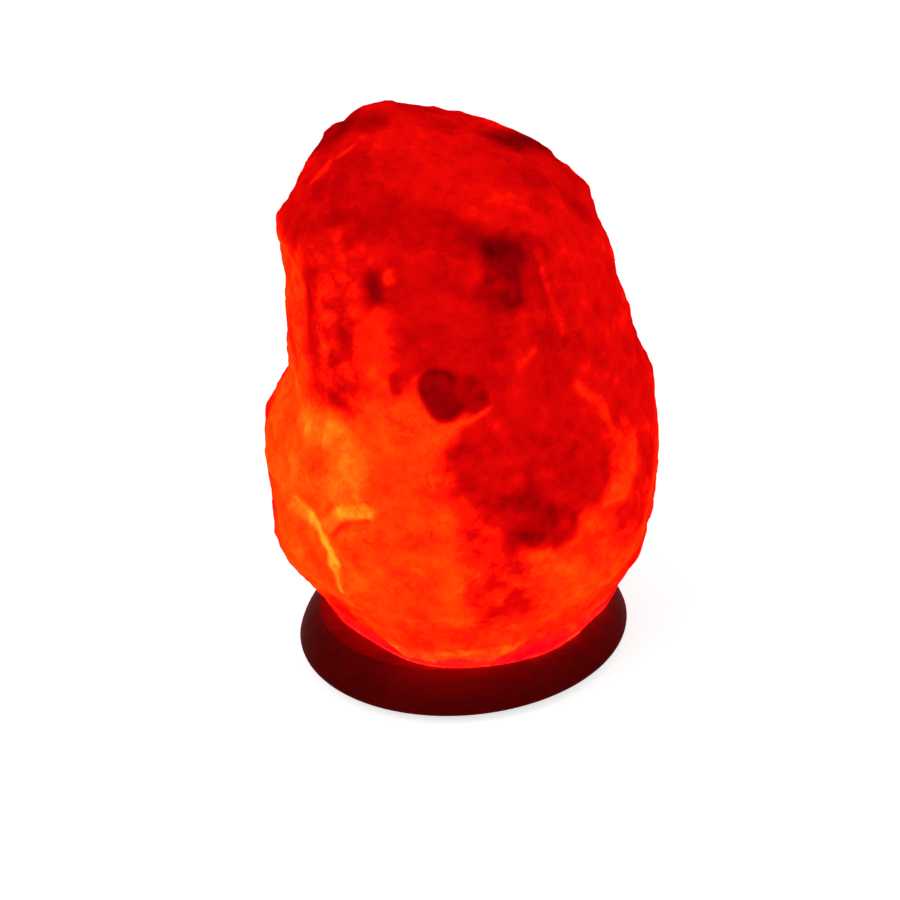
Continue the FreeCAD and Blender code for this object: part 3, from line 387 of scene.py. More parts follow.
@dataclass(frozen=True)
class RockSalt:
    """Rough rock salt, lit from inside: the colour of its light follows how much gets through."""

    # share of light that gets through, and the light that leaves; red over 1 looks no brighter
    # to the camera, but lights what is near
    glow_stops: tuple[tuple[float, Colour], ...] = (
        (0.00, (0.020, 0.000, 0.001)),
        (0.15, (0.080, 0.000, 0.001)),
        (0.30, (0.240, 0.000, 0.001)),
        (0.45, (0.520, 0.000, 0.001)),
        (0.58, (0.820, 0.002, 0.001)),
        (0.68, (2.000, 0.014, 0.001)),
        (0.78, (4.500, 0.055, 0.001)),
        (0.87, (6.000, 0.115, 0.003)),
        (0.94, (7.000, 0.210, 0.006)),
        (1.00, (8.000, 0.420, 0.020)),
    )
    foot_band: tuple[float, float] = (20.0, 33.0)  # heights between which the light fades
    foot_strength: float = 10.0
    body_dark: Colour = (0.050, 0.000, 0.000)
    body_light: Colour = (0.120, 0.002, 0.001)
    cloud_size: float = 5.0
    cloud_depth: float = 0.02
    grain_size: float = 1.3
    grain_depth: float = 0.014
    crack_size: float = 9.0
    crack_width: float = 0.035
    crack_depth: float = 0.07
    bend_share: float = 0.6  # the size of what bends the cracks, in crack sizes
    stretch_share: float = 1.5  # the size of stretches with and without cracks, in crack sizes
    stretch_range: tuple[float, float] = (0.48, 0.62)
    crystal_size: float = 3.2
    tone_depth: float = 0.04
    smooth_tone: float = 0.35  # the share of it that smooth salt shows
    pit_depth: float = 0.35
    grain_relief: float = 0.2
    dullness: tuple[float, float] = (0.62, 0.82)

    def make(self) -> bpy.types.Material:
        """Build the material."""
        s = Shader("rock_salt")
        here = s.place()
        glow = s.add("Attribute", {"attribute_name": "glow"}).outputs["Fac"]
        coarse = s.add("Attribute", {"attribute_name": "coarse"}).outputs["Fac"]
        cloudy = s.noise(here, self.cloud_size, 5.0, 0.62)
        clouds = s.carry(cloudy, -self.cloud_depth, self.cloud_depth)
        grainy = s.noise(here, self.grain_size)
        grain = s.carry(grainy, -self.grain_depth, self.grain_depth)
        bent = self.bent(s, here)
        tones = s.add("TexVoronoi", Vector=bent, Scale=1 / (self.crystal_size * MM))
        tone = s.spread(tones.outputs["Color"], 0.0, 1.0, -self.tone_depth, self.tone_depth)
        tone = s.math("MULTIPLY", tone, s.spread(coarse, 0.0, 1.0, self.smooth_tone, 1.0))
        light = s.math("ADD", s.math("ADD", glow, clouds), s.math("ADD", grain, tone))
        light = s.math("SUBTRACT", light, self.cracks(s, here, bent))
        rise = s.add("SeparateXYZ", Vector=here).outputs["Z"]
        low, high = self.foot_band
        strength = s.spread(rise, low * MM, high * MM, self.foot_strength, 1.0)
        s.set(Emission_Color=s.ramp(light, self.glow_stops), Emission_Strength=strength)
        body = s.ramp(light, ((0.2, self.body_dark), (0.8, self.body_light)))
        s.set(Base_Color=body, Specular_IOR_Level=0.0)
        s.set(Roughness=s.carry(cloudy, *self.dullness))
        rough = s.bump(tones.outputs["Distance"], self.pit_depth, 0.5)
        s.set(Normal=s.bump(grainy, self.grain_relief, 0.6, rough))
        return s.material

    def bent(self, s: Shader, here: bpy.types.NodeSocket) -> bpy.types.NodeSocket:
        """Return places moved by noise, so that what is drawn on them wanders."""
        size = self.crack_size * self.bend_share * MM
        bend = s.add("TexNoise", Vector=here, Scale=1 / size, Detail=4.0)
        move = s.add("VectorMath", {"operation": "SCALE"}, Vector=bend.outputs["Color"])
        move.inputs["Scale"].default_value = self.crack_size * MM
        bent = s.add("VectorMath", {"operation": "ADD"})
        s.feed(bent.inputs[0], here)
        s.feed(bent.inputs[1], move.outputs["Vector"])
        return bent.outputs["Vector"]

    def cracks(
        self, s: Shader, here: bpy.types.NodeSocket, bent: bpy.types.NodeSocket
    ) -> bpy.types.NodeSocket:
        """Return the light lost in fine cracks: broken lines between crystals, drawn on bent places."""
        edges = s.add("TexVoronoi", {"feature": "DISTANCE_TO_EDGE"}, Vector=bent)
        edges.inputs["Scale"].default_value = 1 / (self.crack_size * MM)
        line = s.spread(edges.outputs["Distance"], 0.0, self.crack_width, self.crack_depth, 0.0)
        stretches = s.noise(here, self.crack_size * self.stretch_share, 2.0)
        return s.math("MULTIPLY", line, s.spread(stretches, *self.stretch_range, 0.0, 1.0))


@dataclass(frozen=True)
class StainedWood:
    """Turned wood with a dark red stain: long grain along X under a thin satin varnish."""

    deep: Colour = (0.050, 0.0004, 0.0005)
    red: Colour = (0.095, 0.0008, 0.0010)
    grain_width: float = 1.4
    grain_stretch: float = 0.07
    figure_width: float = 6.0  # in grain widths
    pore_width: float = 0.45
    dullness: tuple[float, float] = (0.48, 0.62)
    gloss: float = 0.008

    def make(self) -> bpy.types.Material:
        """Build the material."""
        s = Shader("stained_wood")
        along = s.place((self.grain_stretch, 1.0, 0.6))
        grain = s.noise(along, self.grain_width, 4.0, 0.6)
        figure = s.noise(along, self.grain_width * self.figure_width, 2.0)
        mixed = s.math("ADD", s.math("MULTIPLY", grain, 0.6), s.math("MULTIPLY", figure, 0.5))
        s.set(Base_Color=s.ramp(mixed, ((0.35, self.deep), (0.75, self.red))))
        pores = s.noise(s.place((self.grain_stretch * 0.6, 1.0, 1.0)), self.pore_width, 2.0)
        s.set(Roughness=s.carry(grain, *self.dullness), Specular_IOR_Level=self.gloss)
        s.set(Normal=s.bump(pores, 0.05, 0.35, s.bump(grain, 0.08, 0.3)))
        return s.material


@dataclass(frozen=True)
class Rubber:
    """Matt black rubber with a fine moulded texture and a little dust."""

    name: str
    colour: Colour
    dust: Colour
    dust_size: float = 6.0
    texture_size: float = 0.5
    texture_depth: float = 0.05
    dullness: tuple[float, float] = (0.68, 0.86)

    def make(self) -> bpy.types.Material:
        """Build the material."""
        s = Shader(self.name)
        here = s.place()
        cloud = s.noise(here, self.dust_size, 4.0)
        s.set(Base_Color=s.ramp(cloud, ((0.45, self.colour), (0.8, self.dust))))
        s.set(Roughness=s.carry(cloud, *self.dullness), Specular_IOR_Level=0.3)
        s.set(Normal=s.bump(s.noise(here, self.texture_size), self.texture_depth, 0.4))
        return s.material


class Grain(Enum):
    """The way that a metal's fine marks run, as a stretch of the pattern along X, Y and Z."""

    TURNED = (0.5, 0.5, 12.0)
    ROLLED = (0.25, 6.0, 6.0)
    EVEN = (1.0, 1.0, 1.0)


@dataclass(frozen=True)
class Metal:
    """A metal with fine marks from how it was made, and a slight tarnish in patches."""

    name: str
    bright: Colour
    dull: Colour
    roughness: float
    grain: Grain
    mark_size: float = 0.6
    mark_depth: float = 0.012
    tarnish_size: float = 5.0

    def make(self) -> bpy.types.Material:
        """Build the material."""
        s = Shader(self.name)
        marks = s.noise(s.place(self.grain.value), self.mark_size, 3.0)
        patches = s.noise(s.place(), self.tarnish_size, 4.0)
        s.set(Base_Color=s.ramp(patches, ((0.4, self.bright), (0.75, self.dull))), Metallic=1.0)
        rough = s.carry(marks, self.roughness * 0.75, self.roughness * 1.3)
        s.set(Roughness=rough, Normal=s.bump(marks, self.mark_depth, 0.5))
        return s.material


@dataclass(frozen=True)
class Moulded:
    """Moulded plastic or glazed ceramic: a faint flow pattern, and a skin of its own sheen."""

    name: str
    colour: Colour
    shade: Colour
    roughness: float
    skin_depth: float
    skin_size: float = 0.7
    flow_size: float = 7.0

    def make(self) -> bpy.types.Material:
        """Build the material."""
        s = Shader(self.name)
        here = s.place()
        flow = s.noise(here, self.flow_size, 3.0)
        s.set(Base_Color=s.ramp(flow, ((0.35, self.colour), (0.75, self.shade))))
        s.set(Roughness=s.carry(flow, self.roughness * 0.85, self.roughness * 1.15))
        s.set(Normal=s.bump(s.noise(here, self.skin_size), self.skin_depth, 0.4))
        return s.material


@dataclass(frozen=True)
class ClearGlass:
    """Clear blown glass with a faint waviness."""

    name: str
    tint: Colour = (0.98, 0.98, 0.97)
    refraction: float = 1.46
    wave_size: float = 8.0
    wave_depth: float = 0.05

    def make(self) -> bpy.types.Material:
        """Build the material."""
        s = Shader(self.name)
        s.set(Base_Color=self.tint, Transmission_Weight=1.0, IOR=self.refraction)
        wave = s.noise(s.place(), self.wave_size, 1.0)
        s.set(Roughness=s.carry(wave, 0.0, 0.03), Normal=s.bump(wave, self.wave_depth, 0.2))
        return s.material


@dataclass(frozen=True)
class GlowingWire:
    """Hot filament wire: brightest in the middle of its span."""

    hot: Colour = (1.0, 0.62, 0.22)
    cool: Colour = (1.0, 0.30, 0.05)
    metal: Colour = (0.3, 0.28, 0.25)
    strength: float = 12.0
    half_span: float = 6.5

    def make(self) -> bpy.types.Material:
        """Build the material."""
        s = Shader("filament_metal")
        apart = s.add("SeparateXYZ", Vector=s.place()).outputs["X"]
        out = s.math("ABSOLUTE", apart)
        share = s.spread(out, 0.0, self.half_span * MM, 0.0, 1.0)
        s.set(Emission_Color=s.ramp(share, ((0.7, self.hot), (1.0, self.cool))))
        s.set(Emission_Strength=self.strength, Base_Color=self.metal, Metallic=1.0, Roughness=0.4)
        return s.material


# ---------------------------------------------------------------- the stone


@dataclass(frozen=True)
class Girth:
    """How far the stone reaches from the base's axis at one height."""

    height: float
    left: float
    right: float
    front: float
    back: float

    def knot(self) -> tuple[float, float, float, float, float]:
        """Return height, centre across, centre along, half width and half depth."""
        return (
            self.height,
            (self.right - self.left) / 2,
            (self.back - self.front) / 2,
            (self.right + self.left) / 2,
            (self.back + self.front) / 2,
        )


@dataclass(frozen=True)
class Flat:
    """A broken face: the way that it faces and how deep it cuts below the furthest point."""

    facing: float  # degrees from the front, rightwards
    tilt: float  # degrees upwards
    depth: float

    def normal(self) -> np.ndarray:
        """Return the direction that the face looks in."""
        turn, rise = math.radians(self.facing), math.radians(self.tilt)
        flat = math.cos(rise)
        return np.array((flat * math.sin(turn), -flat * math.cos(turn), math.sin(rise)))


@dataclass(frozen=True)
class Patch:
    """A stretch of salt that lets through more light, or less, than what is round it."""

    level: float  # share of the light
    width: float
    path: tuple[Point, ...]
    edge: float = 0.6  # 0 is a sharp edge, 1 a soft one
    mottle: float = 0.03  # how far the light varies inside it
    ragged: float = 1.0  # how far its edge wanders

    def share(self, points: np.ndarray) -> np.ndarray:
        """Return 1 inside the patch, 0 outside and a smooth step between.

        The distance to the broken line through the path decides: one within width * (1 - edge),
        nothing past width * (1 + edge).
        """
        stretches = list(zip(self.path, self.path[1:])) or [(self.path[0], self.path[0])]
        away = np.full(points.shape[:-1], np.inf)
        for first, last in stretches:
            base = np.array(first, float)
            run = np.array(last, float) - base
            share = np.clip((points - base) @ run / max(run @ run, 1e-9), 0, 1)
            away = np.minimum(away, np.linalg.norm(points - base - share[..., None] * run, axis=-1))
        return 1 - smooth_step(away, self.width * (1 - self.edge), self.width * (1 + self.edge))


GIRTHS = (
    Girth(19.0, 50.0, 59.5, 55.5, 53.0),
    Girth(22.0, 51.0, 62.0, 58.0, 57.0),
    Girth(27.0, 53.5, 64.5, 61.0, 62.0),
    Girth(34.0, 57.0, 66.5, 65.0, 66.0),
    Girth(43.0, 62.0, 69.0, 69.5, 69.0),
    Girth(52.0, 66.5, 73.0, 72.5, 71.0),
    Girth(61.0, 69.6, 76.3, 74.5, 72.0),
    Girth(68.0, 69.6, 77.8, 75.0, 72.5),
    Girth(75.0, 69.0, 78.4, 75.2, 72.8),
    Girth(82.5, 68.7, 78.2, 75.1, 72.8),
    Girth(90.0, 68.4, 77.4, 74.8, 72.6),
    Girth(96.0, 68.0, 76.4, 74.3, 72.4),
    Girth(102.0, 67.0, 75.3, 73.5, 72.0),
    Girth(110.0, 62.0, 74.6, 72.0, 71.0),
    Girth(119.0, 56.4, 72.8, 70.5, 70.0),
    Girth(130.0, 55.2, 70.8, 68.0, 68.5),
    Girth(137.0, 55.4, 69.2, 66.2, 67.6),
    Girth(145.0, 56.0, 67.0, 64.0, 66.5),
    Girth(152.0, 55.2, 65.2, 61.9, 65.7),
    Girth(160.0, 54.3, 63.2, 59.5, 64.5),
    Girth(166.0, 54.2, 62.4, 57.0, 63.4),
    Girth(172.0, 54.4, 61.2, 54.0, 62.0),
    Girth(181.0, 56.0, 58.8, 48.0, 59.5),
    Girth(187.0, 53.5, 53.0, 42.0, 56.5),
    Girth(193.0, 48.0, 49.0, 34.0, 52.5),
    Girth(199.0, 42.0, 43.5, 25.0, 48.0),
    Girth(204.0, 37.0, 27.0, 15.0, 43.0),
    Girth(208.0, 31.0, 5.0, 5.0, 38.0),
    Girth(211.0, 26.0, -5.0, -4.0, 32.0),
    Girth(213.5, 20.0, -10.0, -11.0, 25.0),
    Girth(214.4, 14.2, -13.8, -17.8, 18.2),
)

FLATS = (
    Flat(12, 63, 6.0),
    Flat(-22, 24, 4.0),
    Flat(32, 20, 4.0),
    Flat(34, 6, 6.0),
    Flat(62, 12, 3.0),
    Flat(-46, 4, 3.5),
    Flat(4, 9, 2.5),
    Flat(-32, -26, 3.5),
    Flat(22, -24, 3.5),
    Flat(110, 15, 5.0),
    Flat(140, 0, 6.0),
    Flat(162, 30, 5.0),
    Flat(186, 8, 6.0),
    Flat(216, 18, 5.0),
    Flat(236, -10, 5.0),
    Flat(254, 26, 3.5),
    Flat(300, 10, 3.0),
    Flat(202, 50, 5.0),
    Flat(122, 46, 5.0),
    Flat(282, 48, 3.0),
    Flat(66, 50, 3.0),
    Flat(334, 46, 3.0),
    Flat(180, -26, 5.0),
    Flat(96, -30, 3.0),
    Flat(52, -30, 6.0),
    Flat(-54, -30, 5.0),
)

# Where the stone lets more or less of the light through. The places were picked by eye on the
# photograph and turned into millimetres on the stone by a scratch program, and many stand here as
# it gave them; the other numbers were set by hand. Later patches lie over earlier ones.
PATCHES = (
    # the clear salt low on the left and along the foot
    Patch(0.80, 25, ((-60, -20, 113), (-61, -34, 90), (-56, -45, 67)), 0.35),
    Patch(0.78, 20, ((-44, -57, 96), (-36, -65, 65)), 0.35),
    Patch(0.76, 17, ((-24, -64, 122), (-18, -69, 106)), 0.3),
    Patch(0.76, 19, ((-14, -71, 98), (-11, -73, 72), (-14, -71, 55)), 0.3),
    Patch(0.73, 16, ((-32, -58, 44), (-12, -66, 39), (8, -68, 38)), 0.6),
    Patch(0.73, 14, ((26, -66, 44), (40, -60, 52), (52, -54, 58)), 0.5),
    # the left edge and the mottled salt beside it
    Patch(0.73, 13, ((-57, -4, 186), (-58, -6, 165), (-58, -8, 148), (-62, -8, 130)), 0.4),
    Patch(0.74, 8, ((-49, -20, 178), (-49, -22, 165), (-50, -27, 152), (-51, -32, 137)), 0.45),
    Patch(0.61, 10, ((-33, -37, 178), (-36, -46, 159), (-33, -51, 146)), 0.5, 0.10),
    Patch(0.56, 6, ((-40, -44, 156), (-39, -48, 140), (-36, -54, 128)), 0.7, 0.13),
    Patch(0.645, 7, ((-23, -51, 160), (-22, -56, 149)), 0.9, 0.06),
    Patch(0.70, 7, ((-20, -60, 142), (-17, -63, 134)), 0.7, 0.06),
    Patch(0.42, 2.5, ((-32, -48, 160), (-34, -48, 154)), 0.8, 0.10),
    Patch(0.45, 2.0, ((-38, -43, 165), (-36, -43, 163)), 0.8, 0.10),
    Patch(0.46, 2.2, ((-40, -45, 154), (-38, -47, 145)), 0.8, 0.10),
    Patch(0.47, 2.4, ((-39, -49, 133), (-34, -55, 128)), 0.8, 0.10),
    # the top
    Patch(0.545, 16, ((-12, 6, 209), (0, -9, 202), (12, -20, 197), (2, -26, 192)), 0.6),
    Patch(0.58, 7, ((13, -33, 188), (28, -27, 189)), 0.9),
    Patch(0.50, 9, ((-52, -2, 190), (-47, -18, 185)), 0.7),
    Patch(0.35, 6, ((-37, 20, 202), (-27, 16, 209)), 0.7, 0.06),
    Patch(0.40, 4, ((-22, 9, 210), (-18, 11, 211)), 0.8),
    Patch(0.66, 1.8, ((-40, -3, 195), (-34, -4, 200), (-27, -1, 204)), 0.9),
    Patch(0.50, 11, ((34, -2, 198), (46, -8, 192)), 0.6),
    Patch(0.28, 7, ((29, 8, 203), (42, 11, 197)), 0.7, 0.06),
    Patch(0.34, 5, ((39, -14, 192), (41, -22, 188)), 0.8, 0.06),
    # the dark band below it
    Patch(0.44, 9, ((-32, -14, 198), (-26, -25, 192), (-21, -30, 189)), 0.8, 0.05),
    Patch(0.46, 10, ((-14, -29, 192), (-3, -40, 186), (4, -44, 182)), 0.8),
    Patch(0.40, 7.5, ((6, -39, 186), (16, -43, 182)), 0.8, 0.05),
    Patch(0.25, 6, ((21, -45, 180), (31, -42, 177)), 0.8, 0.07),
    Patch(0.30, 6, ((26, -48, 173), (26, -50, 166)), 0.8, 0.07),
    Patch(0.30, 3.2, ((15, -53, 169), (18, -52, 172)), 0.8, 0.06),
    Patch(0.45, 6, ((36, -40, 176), (37, -45, 162)), 0.8, 0.05),
    # the smooth middle
    Patch(0.495, 15, ((-5, -50, 173), (-1, -56, 161), (4, -60, 150)), 0.6),
    Patch(0.46, 5, ((16, -59, 154), (11, -63, 143)), 0.8),
    Patch(0.69, 2.4, ((-16, -46, 175), (-16, -47, 173)), 0.6),
    Patch(0.33, 3.2, ((-22, -45, 173), (-21, -48, 168)), 0.7, 0.06),
    # the right
    Patch(0.55, 16, ((52, -22, 180), (58, -28, 150), (66, -24, 125)), 0.6),
    Patch(0.47, 6, ((50, -12, 190), (56, -14, 182)), 0.9, 0.05),
    Patch(0.48, 7, ((34, -51, 152), (38, -54, 138)), 0.9, 0.05),
    Patch(0.56, 11, ((70, -26, 115), (73, -28, 92), (66, -46, 74)), 0.6),
    Patch(0.66, 1.8, ((31, -57, 145), (26, -62, 141), (22, -65, 135)), 0.9),
    Patch(0.62, 1.6, ((37, -39, 175), (40, -44, 161), (43, -47, 148)), 0.9),
    # the dark face low on the right and the rough salt beside it
    Patch(0.61, 12, ((8, -71, 110), (12, -73, 92), (14, -75, 72), (15, -71, 54)), 0.4, 0.11),
    Patch(0.49, 14, ((31, -62, 129), (36, -63, 112), (46, -58, 98)), 0.3),
    Patch(0.50, 10, ((8, -68, 118), (14, -70, 106), (24, -71, 92), (37, -66, 84)), 0.3, 0.06),
    Patch(0.38, 5, ((24, -70, 98), (27, -69, 95)), 0.8, 0.07),
    Patch(0.40, 4, ((25, -72, 84), (38, -65, 88)), 0.8, 0.07),
    Patch(0.54, 3.5, ((22, -71, 110), (21, -71, 101)), 0.9, 0.10),
    Patch(0.66, 2.0, ((46, -52, 130), (54, -49, 119), (59, -47, 108), (64, -41, 104)), 0.9),
    Patch(0.71, 4, ((66, -40, 100), (61, -49, 85), (53, -55, 76), (47, -61, 69)), 0.5, 0.05),
    Patch(0.60, 5, ((8, -75, 66), (12, -73, 56)), 0.8, 0.13),
    # the dark patch of two lobes, with its bright rim and the spot beside it
    Patch(0.71, 7, ((-6, -63, 135), (-2, -67, 127)), 0.6),
    Patch(0.25, 6.6, ((-2, -63, 139), (0, -65, 134)), 0.18, 0.04, 0.35),
    Patch(0.33, 4.6, ((-2, -63, 139), (0, -65, 134)), 0.5, 0.06, 0.35),
    Patch(0.37, 5.0, ((8, -64, 138), (10, -65, 135)), 0.25, 0.07, 0.35),
    Patch(0.70, 0.8, ((15, -65, 132), (8, -67, 128), (1, -68, 126)), 0.9, 0.03, 0.5),
    Patch(0.50, 2.2, ((-16, -61, 142), (-16, -62, 139)), 0.5, 0.03, 0.5),
    # the brightest salt, low on the left
    Patch(0.89, 8, ((-46, -44, 119), (-38, -53, 119), (-35, -58, 112)), 0.7, 0.05),
    Patch(0.92, 4, ((-36, -57, 117), (-35, -60, 109)), 0.8, 0.05),
    Patch(0.91, 4, ((-52, -35, 120), (-47, -44, 116)), 0.8, 0.05),
    Patch(0.87, 5, ((-40, -60, 98), (-34, -64, 100)), 0.8, 0.05),
    Patch(0.93, 3.6, ((-57, -40, 87), (-52, -47, 84)), 0.4, 0.05, 0.9),
    Patch(0.98, 2.3, ((-53, -46, 85), (-49, -52, 82), (-46, -57, 76), (-45, -57, 69)), 0.6, 0.05, 0.8),
    Patch(0.95, 1.2, ((-45, -57, 69), (-43, -59, 58)), 0.8, 0.03, 0.5),
    Patch(0.93, 2.9, ((-46, -56, 85), (-41, -60, 89), (-36, -64, 93), (-30, -68, 95)), 0.5, 0.06, 0.9),
    Patch(0.68, 0.9, ((-44, -58, 82), (-36, -64, 89), (-30, -68, 92)), 0.8, 0.03, 0.6),
    Patch(0.67, 0.8, ((-32, -67, 83), (-26, -69, 79), (-23, -71, 78)), 0.8, 0.03, 0.6),
    Patch(0.85, 0.7, ((-23, -71, 79), (-18, -72, 76), (-13, -73, 71)), 0.8, 0.03, 0.6),
)


@dataclass
class SaltStone:
    """The block of rock salt with its bored hollow, and the light that comes through it."""

    rows: int = 232
    columns: int = 360
    squareness: float = 2.3
    seat: float = 19.0
    cavity_radius: float = 25.0
    cavity_dome_level: float = 88.0
    softness: float = 1.3  # how rounded the edges of the flats are
    margin: float = 0.2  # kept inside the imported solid's box
    worn_facing: float = 225.0
    worn_spread: float = 26.0
    worn_depth: float = 0.085
    worn_height: float = 39.0
    lump_spacing: float = 36.0
    lump_height: float = 2.4
    knob_spacing: float = 21.0
    knob_height: float = 1.7
    lump_start: float = 12.0
    heart_low: float = 45.0
    heart_high: float = 125.0
    raggedness: float = 2.0
    small_lump_spacing: float = 14.0
    small_lump_height: float = 0.75
    scallop_spacing: float = 13.0
    scallop_depth: float = 2.0
    chip_spacing: float = 5.5
    chip_depth: float = 0.7
    chip_drift_spacing: float = 30.0
    chip_drift: float = 5.0
    bowl_middle: float = 0.35  # the squared distance at which a bowl neither sinks nor stands out
    grit_spacing: float = 2.6
    grit_height: float = 0.16
    rough_start: float = 5.0
    least_light: float = 0.50
    bulb_light: float = 0.20
    cloud_spacing: float = 40.0
    cloud_light: float = 0.07
    mottle: float = 0.05
    full_mottle: float = 0.13
    edge_spacing: float = 10.0
    blotch_spacing: float = 6.5
    blotch_crispness: float = 2.5
    blotch_share: float = 0.6
    hairline_spacing: float = 13.0
    hairline_width: float = 0.05
    hairline_share: float = 0.5
    fleck_spacing: float = 3.2
    fleck_range: tuple[float, float] = (0.5, 0.9)
    fleck_share: float = 0.6
    painted_light_side: Point = (-0.45, -0.35, -0.82)  # the way that the painted light on slopes comes from, towards the clearest salt, low on the left
    hollow_light: float = 0.9
    hollow_coarse: float = 0.2
    hollow_rows: int = 12  # each of dome and wall
    dome_lift: tuple[float, float] = (86.0, 6.0)  # degrees
    cutter_mark: float = 0.12
    cutter_turns: float = 1.7  # radians to a millimetre
    under_shares: tuple[float, float] = (0.35, 0.7)  # of the way from the hollow to the foot
    darkest: float = 0.02
    # painted light on what stands out and painted shade in the hollows, from the relief
    painted_ridge_light: float = 0.035
    # painted shading: slopes that look towards the clearest side are lighter, as if lit from there
    painted_slope_light: float = 0.11
    foot_light: float = 0.14
    foot_band: float = 0.9
    foot_shade: float = 0.14
    foot_shade_height: float = 12.0
    bulb_level: float = 66.0
    bulb_reach: float = 46.0

    def turns(self) -> np.ndarray:
        """Return the angle of each column, anticlockwise from +X."""
        return np.linspace(0, 2 * np.pi, self.columns, endpoint=False)

    def block(self) -> np.ndarray:
        """Return the unbroken block: rounded squares carried up a line through the girths.

        A ring's point at angle a is centre + half width * sign(cos a) |cos a|^p across, and the
        same with the sine along, where p is 2 / squareness; low down, one side is worn back.
        """
        knots = np.array([girth.knot() for girth in GIRTHS])
        height, across, along, wide, deep = smooth_through(knots, self.rows).T[:, :, None]
        turn = self.turns()[None]
        power = 2 / self.squareness
        cosine, sine = np.cos(turn), np.sin(turn)
        away = np.angle(np.exp(1j * (turn - math.radians(self.worn_facing))))
        wear = self.worn_depth * np.exp(-((away / math.radians(self.worn_spread)) ** 2))
        wear = 1 - wear * (1 - smooth_step(height, self.seat, self.seat + self.worn_height))
        x = across + wide * np.sign(cosine) * np.abs(cosine) ** power * wear
        y = along + deep * np.sign(sine) * np.abs(sine) ** power * wear
        return np.stack((x, y, height + 0 * x), axis=-1)

    def lumpy(self, rings: np.ndarray) -> np.ndarray:
        """Move points away from the stone's heart, an upright line on the axis, or towards it.

        The move is lump_height times a smooth noise of broad lumps and knob_height times one of
        smaller knobs, and starts a little above the foot.
        """
        heart = np.zeros_like(rings)
        heart[..., 2] = np.clip(rings[..., 2], self.heart_low, self.heart_high)
        away = rings - heart
        away /= np.linalg.norm(away, axis=-1, keepdims=True)
        share = smooth_step(rings[..., 2], self.seat, self.seat + self.lump_start)
        out = self.lump_height * lattice_noise(rings, self.lump_spacing, Seed.LUMPS)
        out += self.knob_height * lattice_noise(rings, self.knob_spacing, Seed.LUMPS)
        return rings + (share * out)[..., None] * away

    def broken(self, rings: np.ndarray) -> np.ndarray:
        """Cut the flats: past each plane, points fall back on it along its normal.

        The excess e over the plane is taken off as s * log(1 + exp(e / s)), which rounds the edge
        over about s millimetres.
        """
        for flat in FLATS:
            normal = flat.normal()
            reach = rings @ normal
            excess = reach - (reach.max() - flat.depth)
            cut = self.softness * np.logaddexp(0, excess / self.softness)
            rings = rings - cut[..., None] * normal
        return rings

    def outward(self, rings: np.ndarray) -> np.ndarray:
        """Return the directions square to the surface, from the cross product of its two runs."""
        around = np.roll(rings, -1, axis=1) - np.roll(rings, 1, axis=1)
        upward = np.gradient(rings, axis=0)
        normal = np.cross(around, upward)
        return normal / np.maximum(np.linalg.norm(normal, axis=-1, keepdims=True), 1e-9)

    def roughness(self, rings: np.ndarray) -> np.ndarray:
        """Return how far each point stands out: small lumps, scallops, smaller chips and grit.

        The scallops and chips are shallow bowls round strewn grains: the squared distance to the
        nearest grain, so that sharp low ridges stand between them.
        """
        bowls = grain_distance(rings, self.scallop_spacing, Seed.SCALLOPS)
        drift = self.chip_drift * layered_noise(rings, self.chip_drift_spacing, Seed.CHIP_DRIFT)
        chips = grain_distance(rings + drift[..., None], self.chip_spacing, Seed.CHIPS)
        lumps = layered_noise(rings, self.small_lump_spacing, Seed.SMALL_LUMPS)
        out = self.small_lump_height * lumps
        scallops = self.scallop_depth * (bowls**2 - self.bowl_middle)
        out += scallops + self.chip_depth * (chips**2 - self.bowl_middle)
        return out + self.grit_height * lattice_noise(rings, self.grit_spacing, Seed.GRIT)

    def outside(self) -> np.ndarray:
        """Return the finished outer surface, from its foot up to its peak."""
        rings = self.broken(self.lumpy(self.block()))
        foot = smooth_step(rings[..., 2], self.seat, self.seat + self.rough_start)[..., None]
        rings = rings + foot * self.roughness(rings)[..., None] * self.outward(rings)
        rings[..., 2] = np.maximum(rings[..., 2], self.seat)
        rings[0, :, 2] = self.seat
        rings[-1] = rings[-1].mean(axis=0)
        return rings

    def inside(self, foot: np.ndarray) -> np.ndarray:
        """Return the hollow, from near its dome's top down its wall, and the flat underside.

        The wall is a bored tube with faint rings from the cutter, its end half a ball.

        Args:
            foot: the outer surface's lowest ring, which the underside meets.
        """
        turn = self.turns()
        lift = np.radians(np.linspace(*self.dome_lift, self.hollow_rows))
        straight = np.full(self.hollow_rows, self.cavity_radius)
        radius = np.concatenate((self.cavity_radius * np.cos(lift), straight))
        dome = self.cavity_dome_level + self.cavity_radius * np.sin(lift)
        wall = np.linspace(self.cavity_dome_level, self.seat, self.hollow_rows)
        height = np.concatenate((dome, wall))
        rings = np.empty((len(height), self.columns, 3))
        marks = self.cutter_mark * np.sin(height * self.cutter_turns) * (height > self.seat)
        scored = (radius + marks)[:, None]
        rings[..., 0] = scored * np.cos(turn)
        rings[..., 1] = scored * np.sin(turn)
        rings[..., 2] = height[:, None]
        shares = np.array(self.under_shares)[:, None, None]
        return np.concatenate((rings, rings[-1] + (foot - rings[-1]) * shares))

